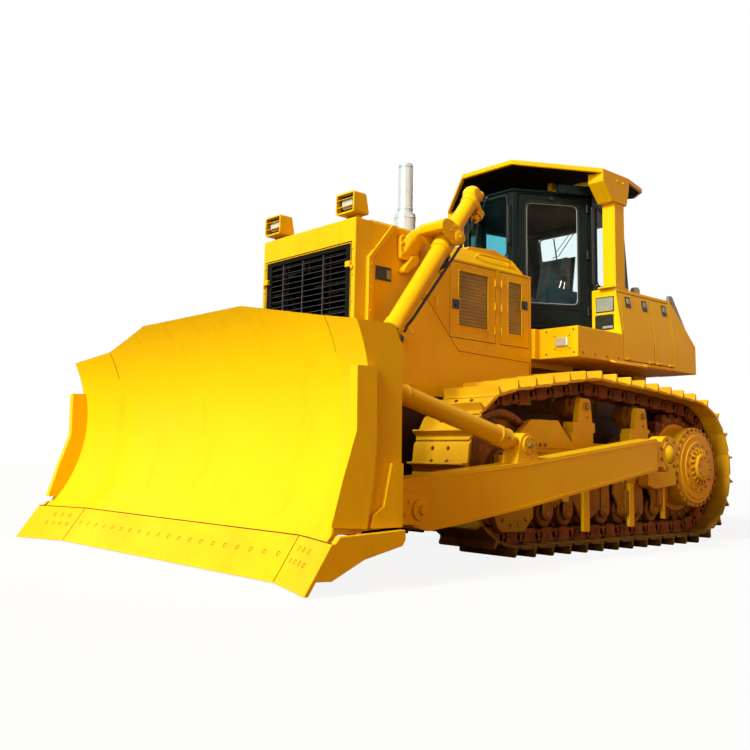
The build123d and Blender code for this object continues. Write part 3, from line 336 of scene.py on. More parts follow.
    def merge(self, other: Shape, matrix: Matrix = Matrix()) -> Shape:
        """Adds a copy of another shape, moved by a matrix."""
        verts = {vert: self.mesh.verts.new(matrix @ vert.co) for vert in other.mesh.verts}
        flip = matrix.determinant() < 0
        for face in other.mesh.faces:
            ring = [verts[vert] for vert in face.verts]
            self.face(ring[::-1] if flip else ring)
        return self

    def copy_node(self, node: str) -> Shape:
        """Takes over a CAD node's mesh, with its flat faces joined into whole ones."""
        self.mesh.from_mesh(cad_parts[node].data)
        bmesh.ops.remove_doubles(self.mesh, verts=self.mesh.verts, dist=2e-5)
        bmesh.ops.dissolve_limit(self.mesh, angle_limit=FLAT_ANGLE, verts=self.mesh.verts,
                                 edges=self.mesh.edges)
        bmesh.ops.translate(self.mesh, verts=self.mesh.verts, vec=(-CAD_SHIFT, 0, 0))
        return self

    def place(self, name: str, finish: Finish, body: str = Body.MACHINE.value, bevel: float = 0.0,
              segments: int = 2, edge: float = 28.0, smooth: float = 32.0,
              replaces: tuple[str, ...] = ()) -> bpy.types.Object:
        """Makes the object, dresses it and lets it ride.

        Args:
            name: the piece's name.
            finish: its material.
            body: the body that it rides on.
            bevel: width of the rounding along its edges, or 0 for none.
            segments: steps in the rounding.
            edge: smallest angle that is rounded, in degrees.
            smooth: largest angle that is shaded smooth, in degrees.
            replaces: CAD nodes that it stands for.

        Returns:
            The new object.
        """
        data = bpy.data.meshes.new(name)
        bmesh.ops.recalc_face_normals(self.mesh, faces=self.mesh.faces)
        bmesh.ops.translate(self.mesh, verts=self.mesh.verts, vec=(CAD_SHIFT, 0, 0))
        self.mesh.to_mesh(data)
        self.mesh.free()
        made = bpy.data.objects.new(name, data)
        bpy.context.scene.collection.objects.link(made)
        data.materials.append(finish.material())
        if bevel:
            rounding = made.modifiers.new("edges", "BEVEL")
            rounding.width, rounding.segments = bevel, segments
            rounding.limit_method, rounding.angle_limit = "ANGLE", math.radians(edge)
            rounding.harden_normals = False
            rounding.miter_outer = "MITER_ARC"
        for polygon in data.polygons:
            polygon.use_smooth = True
        smooth_by_angle(made, math.radians(smooth))
        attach(made, body)
        if replaces:
            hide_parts(*replaces)
        return made

    def bolts(self, spots: Sequence[Point], axis: Point, size: float, washer: bool = True) -> Shape:
        """Several bolts that stand out the same way."""
        for spot in spots:
            self.bolt(spot, axis, size, washer)
        return self

    def side_bolts(self, side: int, y: float, size: float, *spots: Flat, washer: bool = True) -> Shape:
        """Bolts in a side wall, at places along X and Z."""
        return self.bolts([(x, side * y, z) for x, z in spots], (0, side, 0), size, washer)

    def slab(self, points: Sequence[Flat], side: int, low: float, high: float) -> Shape:
        """An outline in side view, drawn out between two distances from the machine's middle."""
        return self.prism(points, Plane.SIDE, *span(side, low, high))

    def boss(self, profile: Sequence[Flat], side: int, at: Point, steps: int) -> Shape:
        """A turned form that stands out to one side of the machine."""
        return self.turned(profile, (at[0], side * at[1], at[2]), (0, side, 0), steps)


def smooth_by_angle(made: bpy.types.Object, angle: float) -> None:
    """Marks the mesh's sharp edges so that only gentle ones are shaded smooth."""
    mesh = bmesh.new()
    mesh.from_mesh(made.data)
    for edge in mesh.edges:
        edge.smooth = len(edge.link_faces) == 2 and edge.calc_face_angle(0) < angle
    mesh.to_mesh(made.data)
    mesh.free()
    if made.modifiers:
        weighted = made.modifiers.new("normals", "WEIGHTED_NORMAL")
        weighted.keep_sharp = True


Colour = tuple[float, float, float]


class Graph:
    """A material's nodes, made and linked in few words."""

    def __init__(self, name: str) -> None:
        """Starts a material whose surface is one shader."""
        self.material = bpy.data.materials.new(name)
        self.material.use_nodes = True
        self.tree = self.material.node_tree
        self.tree.nodes.clear()
        self.output = self.tree.nodes.new("ShaderNodeOutputMaterial")
        self.shader = self.tree.nodes.new("ShaderNodeBsdfPrincipled")
        self.tree.links.new(self.shader.outputs[0], self.output.inputs[0])
        self.coords = self.tree.nodes.new("ShaderNodeTexCoord").outputs["Object"]

    def add(self, kind: str, inputs: dict[str | int, object], **settings: object) -> bpy.types.Node:
        """A node with its inputs set or linked, and its settings."""
        made = self.tree.nodes.new(f"ShaderNode{kind}")
        for key, value in settings.items():
            setattr(made, key, value)
        for key, value in inputs.items():
            self.feed(made.inputs[key], value)
        return made

    def feed(self, socket: bpy.types.NodeSocket, value: object) -> None:
        """Links a socket to another or sets its value."""
        if isinstance(value, bpy.types.NodeSocket):
            self.tree.links.new(value, socket)
        elif isinstance(value, tuple) and socket.type == "RGBA":
            socket.default_value = (*value, 1)
        else:
            socket.default_value = value

    def noise(self, scale: float, detail: float = 4, rough: float = 0.55,
              squash: Point = (1, 1, 1)) -> object:
        """Cloudy noise in the piece's own frame, stretched along an axis if asked."""
        where = self.coords
        if squash != (1, 1, 1):
            where = self.add("Mapping", {"Vector": where, "Scale": squash}).outputs[0]
        inputs = {"Vector": where, "Scale": scale, "Detail": detail, "Roughness": rough}
        return self.add("TexNoise", inputs).outputs[0]

    def level(self, source: object, low: float, high: float, start: float = 0, end: float = 1) -> object:
        """Spreads a part of a value's range over another range."""
        inputs = {"Value": source, "From Min": low, "From Max": high, "To Min": start, "To Max": end}
        return self.add("MapRange", inputs).outputs[0]

    def sums(self, operation: str, first: object, second: object) -> object:
        """Two values joined by one sum."""
        return self.add("Math", {0: first, 1: second}, operation=operation).outputs[0]

    def mix(self, share: object, first: object, second: object) -> object:
        """Two colours mixed by a share."""
        made = self.add("Mix", {}, data_type="RGBA")
        for index, value in ((0, share), (6, first), (7, second)):
            self.feed(made.inputs[index], value)
        return made.outputs[2]

    def facing_up(self) -> object:
        """How far a surface faces up."""
        normal = self.add("NewGeometry", {}).outputs["Normal"]
        return self.add("SeparateXYZ", {0: normal}).outputs[2]

    def height(self) -> object:
        """Height above the ground, in metres."""
        return self.add("SeparateXYZ", {0: self.coords}).outputs[2]

    def crevice(self, reach: float) -> object:
        """A value near 1 in corners and slits, and 0 on open faces."""
        occlusion = self.add("AmbientOcclusion", {"Distance": reach}, samples=4)
        return self.level(occlusion.outputs["AO"], 0.75, 0.25)

    def edge(self, reach: float) -> object:
        """A value near 1 along outer edges."""
        soft = self.add("Bevel", {"Radius": reach}, samples=4).outputs[0]
        normal = self.add("NewGeometry", {}).outputs["Normal"]
        same = self.add("VectorMath", {0: soft, 1: normal}, operation="DOT_PRODUCT").outputs["Value"]
        return self.level(same, 0.97, 0.8)

    def bump(self, height: object, strength: float, depth: float, under: object = None) -> object:
        """A bumped normal, on top of another if one is given."""
        inputs = {"Height": height, "Strength": strength, "Distance": depth}
        if under is not None:
            inputs["Normal"] = under
        return self.add("Bump", inputs).outputs[0]

    def finish(self, colour: object, rough: object, normal: object, **values: object) -> bpy.types.Material:
        """Feeds the shader and hands the material over."""
        named = {"Base Color": colour, "Roughness": rough, "Normal": normal}
        for key, value in {**named, **{k.replace("_", " "): v for k, v in values.items()}}.items():
            self.feed(self.shader.inputs[key], value)
        return self.material


@dataclass(frozen=True)
class Finish:
    """A material's name, the record's slot that it belongs to and its main colour."""

    name: str
    slot: str
    colour: Colour

    def material(self) -> bpy.types.Material:
        """The finish's material, made at its first use."""
        return bpy.data.materials.get(self.name) or self.build(Graph(self.name))

    def build(self, graph: Graph) -> bpy.types.Material:
        """Makes the nodes."""
        raise NotImplementedError


@dataclass(frozen=True)
class Paint(Finish):
    """Sprayed machine paint: cloudy tone, orange peel, a film of dust, painted shade with dirt in corners,
    darker towards the ground where asked, and worn edges.
    """

    deep: Colour = (0.88, 0.46, 0.003)
    dust: float = 0.05
    shade_and_grime: float = 0.6
    wear: float = 0.0
    # darkening by height, for dirt and painted shade near the ground: full below the first height, none above
    # the second
    low_dirt_and_shade: tuple[float, float] = (0.0, 0.0)
    gloss: float = 0.36

    def build(self, graph: Graph) -> bpy.types.Material:
        """Makes the nodes."""
        tone = graph.level(graph.noise(1.3, 5), 0.2, 0.75)
        colour = graph.mix(tone, self.deep, self.colour)
        streak = graph.level(graph.noise(5, 6, 0.6, (1, 1, 0.14)), 0.56, 0.78, 0, 0.22)
        colour = graph.mix(streak, colour, (0.52, 0.2, 0.006))
        up = graph.level(graph.facing_up(), 0.35, 0.95, 0, self.dust)
        film = graph.sums("MULTIPLY", up, graph.level(graph.noise(4.5, 8, 0.7), 0.3, 0.75))
        colour = graph.mix(film, colour, (0.5, 0.33, 0.13))
        # painted shade: corners and slits darkened to a reddish brown by an occlusion mask, with some dirt
        painted_shade_and_dirt = graph.sums("MULTIPLY", graph.crevice(0.07), graph.level(graph.noise(11, 6), 0.2, 0.6))
        painted_shade_and_dirt = graph.sums("MULTIPLY", painted_shade_and_dirt, self.shade_and_grime)
        colour = graph.mix(painted_shade_and_dirt, colour, (0.13, 0.035, 0.006))
        # darker towards the ground: dirt and painted shade near the bottom, by height with noise
        if self.low_dirt_and_shade[1]:
            dirt_and_shade_height = graph.sums("ADD", graph.height(), graph.level(graph.noise(3, 7, 0.7), 0, 1, -0.22, 0.22))
            dirt_and_shade_share = graph.sums("MULTIPLY", graph.level(dirt_and_shade_height, self.low_dirt_and_shade[1], self.low_dirt_and_shade[0]), 0.93)
            colour = graph.mix(dirt_and_shade_share, colour, (0.05, 0.022, 0.008))
        if self.wear:
            chips = graph.sums("MULTIPLY", graph.edge(0.006), graph.level(graph.noise(34, 7, 0.7), 0.5, 0.58))
            colour = graph.mix(graph.sums("MULTIPLY", chips, self.wear), colour, (0.2, 0.13, 0.08))
        rough = graph.level(graph.noise(9, 6, 0.65), 0.25, 0.75, self.gloss - 0.07, self.gloss + 0.12)
        peel = graph.bump(graph.noise(160, 2), 0.05, 0.001)
        wave = graph.bump(graph.noise(7, 3), 0.05, 0.006, peel)
        return graph.finish(colour, rough, wave, Coat_Weight=0.05, Coat_Roughness=0.2, Specular_IOR_Level=0.1)


@dataclass(frozen=True)
class Metal(Finish):
    """Bare or browned steel: patches of rust, scratches along the part and painted shade with dirt in
    corners.
    """

    rust: Colour = (0.16, 0.05, 0.014)
    spread: float = 0.5
    shine: float = 0.7
    rough: float = 0.5
    grain: float = 0.3
    speck: float = 0.35
    shade_and_grime: float = 0.7
    specular: float = 0.15

    def build(self, graph: Graph) -> bpy.types.Material:
        """Makes the nodes."""
        patch = graph.level(graph.noise(8, 9, 0.7), 0.62 - self.spread * 0.35, 0.8 - self.spread * 0.25)
        colour = graph.mix(patch, self.colour, self.rust)
        fine = graph.level(graph.noise(70, 4), 0.35, 0.7, 0, self.speck)
        colour = graph.mix(fine, colour, tuple(0.4 * part for part in self.rust))
        # painted shade: corners darkened towards black by an occlusion mask, with some dirt
        colour = graph.mix(graph.sums("MULTIPLY", graph.crevice(0.05), self.shade_and_grime), colour,
                           (0.018, 0.009, 0.005))
        scratch = graph.noise(45, 3, 0.6, (1, 1, 9))
        rough = graph.level(graph.noise(22, 6), 0.25, 0.8, self.rough - 0.12, self.rough + 0.18)
        normal = graph.bump(graph.noise(60, 6, 0.7), self.grain, 0.003, graph.bump(scratch, 0.12, 0.001))
        return graph.finish(colour, rough, normal, Metallic=self.shine, Specular_IOR_Level=self.specular)


@dataclass(frozen=True)
class Moulded(Finish):
    """Rubber, plastic or painted trim: a fine moulded grain with a dusty film."""

    rough: float = 0.5
    grain: float = 220.0
    depth: float = 0.12
    film: Colour = (0.12, 0.11, 0.09)
    dust: float = 0.18
    specular: float = 0.3

    def build(self, graph: Graph) -> bpy.types.Material:
        """Makes the nodes."""
        tone = graph.level(graph.noise(6, 5), 0.3, 0.7, 0, 0.5)
        colour = graph.mix(tone, self.colour, tuple(0.55 * part for part in self.colour))
        up = graph.level(graph.facing_up(), 0.1, 0.95, 0.12 * self.dust, self.dust)
        colour = graph.mix(graph.sums("MULTIPLY", up, graph.level(graph.noise(12, 6), 0.3, 0.7)), colour,
                           self.film)
        rough = graph.level(graph.noise(18, 5), 0.3, 0.7, self.rough - 0.08, self.rough + 0.12)
        grain = graph.add("TexVoronoi", {"Vector": graph.coords, "Scale": self.grain}).outputs[0]
        normal = graph.bump(grain, self.depth, 0.001)
        return graph.finish(colour, rough, normal, Specular_IOR_Level=self.specular)


@dataclass(frozen=True)
class Woven(Finish):
    """Woven cloth: two crossed threads, fuzz and a faint sheen."""

    thread: float = 420.0

    def build(self, graph: Graph) -> bpy.types.Material:
        """Makes the nodes."""
        waves = [graph.add("TexWave", {"Vector": graph.coords, "Scale": self.thread / 20, "Distortion": 0.6},
                           bands_direction=way).outputs["Fac"] for way in ("X", "Y")]
        weave = graph.sums("MAXIMUM", *waves)
        worn = graph.level(graph.noise(9, 6), 0.3, 0.75, 0, 0.4)
        colour = graph.mix(worn, self.colour, tuple(0.35 + 0.4 * part for part in self.colour))
        colour = graph.mix(graph.level(weave, 0, 1, 0.45, 0), colour,
                           tuple(0.3 * part for part in self.colour))
        rough = graph.level(graph.noise(30, 4), 0.3, 0.7, 0.78, 0.95)
        normal = graph.bump(weave, 0.35, 0.0015, graph.bump(graph.noise(26, 5), 0.2, 0.004))
        return graph.finish(colour, rough, normal, Sheen_Weight=0.3, Sheen_Roughness=0.4)


@dataclass(frozen=True)
class Pane(Finish):
    """Tinted safety glass with a light film of dust."""

    def build(self, graph: Graph) -> bpy.types.Material:
        """Makes the nodes."""
        dust = graph.noise(7, 7, 0.7)
        colour = graph.mix(graph.level(dust, 0.45, 0.8, 0, 0.06), self.colour, (0.55, 0.6, 0.55))
        rough = graph.level(graph.noise(12, 7), 0.35, 0.8, 0.01, 0.09)
        normal = graph.bump(graph.noise(3, 2), 0.02, 0.002)
        clear = graph.level(dust, 0.45, 0.8, 1, 0.985)
        return graph.finish(colour, rough, normal, Transmission_Weight=clear, IOR=1.09)


@dataclass(frozen=True)
class Lens(Finish):
    """Fluted lamp glass over a bright reflector."""

    def build(self, graph: Graph) -> bpy.types.Material:
        """Makes the nodes."""
        flutes = graph.add("TexWave", {"Vector": graph.coords, "Scale": 28.0},
                           bands_direction="Y").outputs["Fac"]
        colour = graph.mix(graph.level(flutes, 0.1, 0.9), self.colour,
                           tuple(0.55 * part for part in self.colour))
        colour = graph.mix(graph.level(graph.noise(20, 6), 0.5, 0.8, 0, 0.3), colour, (0.3, 0.26, 0.2))
        rough = graph.level(graph.noise(25, 5), 0.3, 0.7, 0.06, 0.2)
        normal = graph.bump(flutes, 0.4, 0.002)
        return graph.finish(colour, rough, normal, Metallic=0.35, Coat_Weight=1.0, Coat_Roughness=0.03)


@dataclass(frozen=True)
class Screen(Finish):
    """Pressed sheet with rows of small holes, drawn as dots of painted shade in the sheet."""

    pitch: float = 46.0

    def build(self, graph: Graph) -> bpy.types.Material:
        """Makes the nodes."""
        cells = graph.add("TexVoronoi",
                          {"Vector": graph.coords, "Scale": self.pitch, "Randomness": 0.0}).outputs[0]
        hole = graph.level(cells, 0.3, 0.36, 1, 0)
        tone = graph.mix(graph.level(graph.noise(5, 5), 0.3, 0.7), self.colour,
                         tuple(0.6 * c for c in self.colour))
        # painted shade: the holes are painted dark brown for the shade behind them
        colour = graph.mix(hole, tone, (0.16, 0.085, 0.008))
        rough = graph.level(graph.noise(30, 4), 0.3, 0.7, 0.42, 0.6)
        return graph.finish(colour, rough, graph.bump(hole, -0.6, 0.003))


YELLOW = (0.94, 0.6, 0.003)
PAINT = Paint("machine_paint", "paint", YELLOW)
BLADE_PAINT = Paint("blade_paint", "paint", YELLOW, deep=(0.92, 0.55, 0.003), wear=0.35, shade_and_grime=0.35,
                    dust=0.04, gloss=0.42)
GEAR_PAINT = Paint("running_gear_paint", "paint", (0.93, 0.62, 0.01), deep=(0.78, 0.42, 0.006), shade_and_grime=0.95,
                   dust=0.1, low_dirt_and_shade=(0.02, 0.5), wear=0.5, gloss=0.45)
DRIVE_PAINT = Paint("final_drive_paint", "paint", (0.9, 0.5, 0.006), deep=(0.66, 0.3, 0.005), shade_and_grime=1.0,
                    dust=0.1, wear=0.4, gloss=0.42)
# the hull's dark brown stands for oil dirt and painted shade, as the hull lies in shade behind the tracks
HULL_GRIME_AND_SHADE = Paint("hull_grime_and_painted_shade", "paint", (0.2, 0.085, 0.004), deep=(0.1, 0.035, 0.003), shade_and_grime=0.95,
                   dust=0.06, low_dirt_and_shade=(0.5, 2.0), gloss=0.5)
# the bogies' darker paint stands for dirt and painted shade in the recesses of the running gear
BOGIE_GRIME_AND_SHADE = Paint("bogie_grime_and_painted_shade", "paint", (0.62, 0.3, 0.006), deep=(0.36, 0.14, 0.004), shade_and_grime=1.0,
                    dust=0.08, low_dirt_and_shade=(0.02, 0.6), wear=0.5, gloss=0.48)
# the shoes darken towards the ground: dirt and painted shade on the lower run
SHOE_PAINT = Paint("shoe_paint", "track_steel", (0.86, 0.5, 0.01), deep=(0.62, 0.3, 0.008), shade_and_grime=0.9,
                   dust=0.15, low_dirt_and_shade=(0.0, 0.95), wear=0.8, gloss=0.46)
BARREL_PAINT = Paint("cylinder_paint", "barrel_paint", (0.95, 0.62, 0.004), shade_and_grime=0.6, gloss=0.3)
EDGE_PAINT = Paint("edge_paint", "edge_steel", (0.95, 0.63, 0.006), wear=0.9, shade_and_grime=0.5, gloss=0.42)
CHAIN = Metal("chain_steel", "track_steel", (0.15, 0.048, 0.009), rust=(0.36, 0.11, 0.012), shine=0.1,
              rough=0.6, shade_and_grime=0.95)
WHEEL = Metal("wheel_steel", "paint", (0.16, 0.062, 0.012), rust=(0.42, 0.18, 0.015), shine=0.15, rough=0.55,
              shade_and_grime=0.9)
BOLT = Metal("bolt_steel", "paint", (0.34, 0.2, 0.07), rust=(0.5, 0.26, 0.02), shine=0.35, rough=0.42)
CHROME = Metal("chromed_rod", "rod_chrome", (0.8, 0.81, 0.82), rust=(0.66, 0.66, 0.66), spread=0.1, shine=1.0,
               rough=0.16, grain=0.04, speck=0.06)
PIPE = Metal("aluminised_pipe", "silver_pipe", (0.56, 0.66, 0.72), rust=(0.46, 0.54, 0.58), spread=0.3,
             shine=0.5, rough=0.34, grain=0.04, speck=0.04, shade_and_grime=0.2)
IRON = Metal("engine_iron_finish", "engine_iron", (0.07, 0.07, 0.07), rust=(0.1, 0.07, 0.05), shine=0.4,
             rough=0.6)
BLACK = Moulded("black_enamel", "black_metal", (0.008, 0.01, 0.011), rough=0.34, grain=300, depth=0.04,
                dust=0.08)
GRILLE_BLACK = Moulded("grille_enamel", "black_metal", (0.006, 0.006, 0.006), rough=0.5, grain=260,
                       depth=0.06, dust=0.0, specular=0.06)
# painted highlight: the slat noses are lighter than the black grille so that they read as lit edges
SLAT_HIGHLIGHT = Moulded("slat_painted_highlight", "black_metal", (0.075, 0.075, 0.085), rough=0.45, grain=240, depth=0.05,
               dust=0.0, specular=0.1)
TEAL = Moulded("cab_lining", "cab_trim", (0.012, 0.055, 0.075), rough=0.55, grain=150, dust=0.05)
CAB_TEAL = Moulded("cab_enamel", "black_metal", (0.003, 0.011, 0.013), rough=0.4, grain=320, depth=0.03,
                   dust=0.03, film=(0.02, 0.05, 0.05), specular=0.1)
# painted shade: near-black brown for the shaded underside of the yellow roof
SHADE = Moulded("roof_underside_painted_shade", "black_metal", (0.012, 0.006, 0.002), rough=0.8, grain=90, dust=0.0,
                specular=0.05)
RUBBER = Moulded("seal_rubber", "black_metal", (0.014, 0.014, 0.014), rough=0.62, grain=120)
PLATE = Moulded("blank_plate", "black_metal", (0.02, 0.021, 0.02), rough=0.38, film=(0.3, 0.3, 0.27),
                dust=0.3)
PALE_PLATE = Moulded("pale_plate", "silver_pipe", (0.34, 0.36, 0.33), rough=0.4, film=(0.5, 0.48, 0.4))
GLASS = Pane("cab_window_glass", "window", (0.9, 0.98, 0.98))
TINTED = Pane("windshield_glass", "window", (0.1, 0.5, 0.6))
LENS = Lens("lamp_lens", "lens", (0.86, 0.86, 0.8))
CLOTH = Woven("driver_cloth", "seat_cover", (0.03, 0.035, 0.036))
SCREEN = Screen("panel_screen", "paint", (0.46, 0.3, 0.02))


def soften(node: str, name: str, finish: Finish, bevel: float, body: str = Body.MACHINE.value,
           **looks: object) -> None:
    """Stands a copy of a CAD node with rounded edges in its place.

    Args:
        node: the node that it stands for.
        name: the new piece's name.
        finish: its material.
        bevel: width of the rounding.
        body: the body that it rides on.
        looks: other looks, as for Shape.place.
    """
    Shape().copy_node(node).place(name, finish, body, bevel=bevel, replaces=(node,), **looks)


def dress(node: str, finish: Finish) -> None:
    """Gives a kept CAD node its material."""
    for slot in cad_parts[node].material_slots:
        slot.material = finish.material()


@dataclass
class Tracks:
    """Both tracks: shoes with one tall bar each, on a chain of rigid links with pins."""

    shoe_count: int = 41
    gauge_half: float = 1.13
    shoe_half: float = 0.305
    plate: float = 0.02
    bar_height: float = 0.07
    bar_at: float = -0.28
    rail_out: float = 0.085
    rail_half: float = 0.024
    rail_height: float = 0.13
    pin_depth: float = 0.068
    wheels: tuple[Point, ...] = ((0.0, 0.765, 0.675), (2.9, 0.725, 0.635), (1.79, 1.297, 0.245),
                                 (0.845, 1.255, 0.245))
    runs: list[tuple[bool, Point, float, float]] = field(default_factory=list)
    pitch: float = 0.0

    def __post_init__(self) -> None:
        """Works out the loop's arcs and straight runs."""
        normals = []
        for here, there in zip(self.wheels, self.wheels[1:] + self.wheels[:1]):
            dx, dz = there[0] - here[0], there[1] - here[1]
            lean = math.acos((here[2] - there[2]) / math.hypot(dx, dz))
            normals.append(math.atan2(dz, dx) - lean)
        for index, wheel in enumerate(self.wheels):
            start = normals[index - 1]
            turn = (normals[index] - start) % (2 * math.pi)
            self.runs.append((True, wheel, start, wheel[2] * turn))
            after = self.wheels[(index + 1) % len(self.wheels)]
            reach = math.hypot(after[0] - wheel[0], after[1] - wheel[1])
            self.runs.append((False, wheel, normals[index], math.sqrt(reach**2 - (after[2] - wheel[2]) ** 2)))
        self.pitch = sum(run[3] for run in self.runs) / self.shoe_count

    def joint(self, index: float, drop: float) -> Vector:
        """A point of the loop.

        Args:
            index: how many shoes along.
            drop: how far inside the plates' underside.

        Returns:
            Its place in the machine's middle plane.
        """
        left = (index * self.pitch) % sum(run[3] for run in self.runs)
        for bent, (x, z, radius), start, length in self.runs:
            if left <= length:
                break
            left -= length
        angle, along = (start + left / radius, 0) if bent else (start, left)
        out = Vector((math.cos(angle), 0, math.sin(angle)))
        return Vector((x, 0, z)) + out * (radius - drop) + Vector((-out.z, 0, out.x)) * along

    def seat_of(self, index: int) -> Matrix:
        """Where one rigid link sits: X along the chain, Z out of the loop."""
        start, end = self.joint(index - 0.5, 0), self.joint(index + 0.5, 0)
        way = (end - start).normalized()
        out = Vector((way.z, 0, -way.x))
        turn = Matrix((way, out.cross(way), out)).transposed().to_4x4()
        return Matrix.Translation((start + end) / 2) @ turn

    def shoe(self) -> Shape:
        """One shoe: a plate with a turned-down lip, clipped corners and a tapered bar."""
        half, bar = self.pitch / 2 - 0.003, self.bar_at * self.pitch
        top, tip = self.plate, self.plate + self.bar_height
        outline = [(-half, 0.0), (-half, top * 0.7), (-half + 0.008, top), (bar - 0.022, top),
                   (bar - 0.014, top + 0.012), (bar - 0.008, tip), (bar + 0.007, tip),
                   (bar + 0.014, top + 0.012), (bar + 0.024, top), (half - 0.03, top),
                   (half - 0.006, top * 0.55), (half, 0.0), (half + 0.034, -0.003), (half + 0.034, -0.009),
                   (half - 0.012, -0.009), (-half + 0.02, 0.0)]
        rings = []
        for y, clip, cut in ((-1, 0.036, 0.01), (-0.955, 0.0, 0.0), (0.955, 0.0, 0.0), (1, 0.036, 0.01)):
            limit = half - clip
            ring = [(max(-limit, min(limit + 0.034, x)), z - (cut if z > top + 0.02 else 0))
                    for x, z in outline]
            rings.append([Vector((x, y * self.shoe_half, z)) for x, z in ring])
        return Shape().loft(rings)

    def shoe_bolts(self) -> Shape:
        """The four bolts of one shoe."""
        spots = product((-0.045, 0.062), (-self.rail_out, self.rail_out), (self.plate - 0.001,))
        return Shape().bolts(list(spots), (0, 0, 1), 0.013)

    def link(self) -> Shape:
        """One link: two rails with offset bosses, a bushing between them and the pin's ends."""
        made = Shape()
        half, width = self.pitch / 2, self.rail_half
        ahead = [(share * self.pitch, z)
                 for share, z in ((0.36, -0.003), (0.45, -0.04), (0.4, -0.09),
                                  (0.27, 0.002 - self.rail_height))]
        behind = [(-x, z) for x, z in ahead]
        outline = rounded([behind[0], *ahead, *behind[:0:-1]], 0.02, 2)
        for sign in (-1, 1):
            middle = sign * self.rail_out
            made.prism(outline, Plane.SIDE, middle - width, middle + width)
            for x, out in ((-half, 0.5), (half, -0.5)):
                made.turned([(-0.5 * width, 0.051), (0.5 * width, 0.051)],
                            (x, middle + sign * out * width, -self.pin_depth), (0, 1, 0), 20)
            window = (0, middle + sign * width, -0.5 * self.rail_height)
            made.dome(window, (0, sign, 0), 0.017, 0.006, 10)
        for profile in ([(-0.062, 0.033), (0.062, 0.033)],
                        [(-0.118, 0.016), (-0.115, 0.022), (0.115, 0.022), (0.118, 0.016)]):
            made.turned(profile, (-half, 0, -self.pin_depth), (0, 1, 0), 16)
        return made

    def build(self) -> None:
        """Makes both tracks."""
        for side in Side:
            name, middle = side.value, Matrix.Translation((0, side.sign * self.gauge_half, 0))
            shoes, bolts, chain = Shape(), Shape(), Shape()
            for whole, part in ((shoes, self.shoe()), (bolts, self.shoe_bolts()), (chain, self.link())):
                for index in range(self.shoe_count):
                    whole.merge(part, middle @ self.seat_of(index))
            shoes.place(f"track_shoes_{name}", SHOE_PAINT, bevel=0.0025, replaces=(f"track_{name}",))
            bolts.place(f"track_shoe_bolts_{name}", CHAIN)
            chain.place(f"track_chain_{name}", CHAIN, bevel=0.002, segments=1)
        log.info("tracks: %d shoes a side, pitch %.0f mm", self.shoe_count, 1000 * self.pitch)


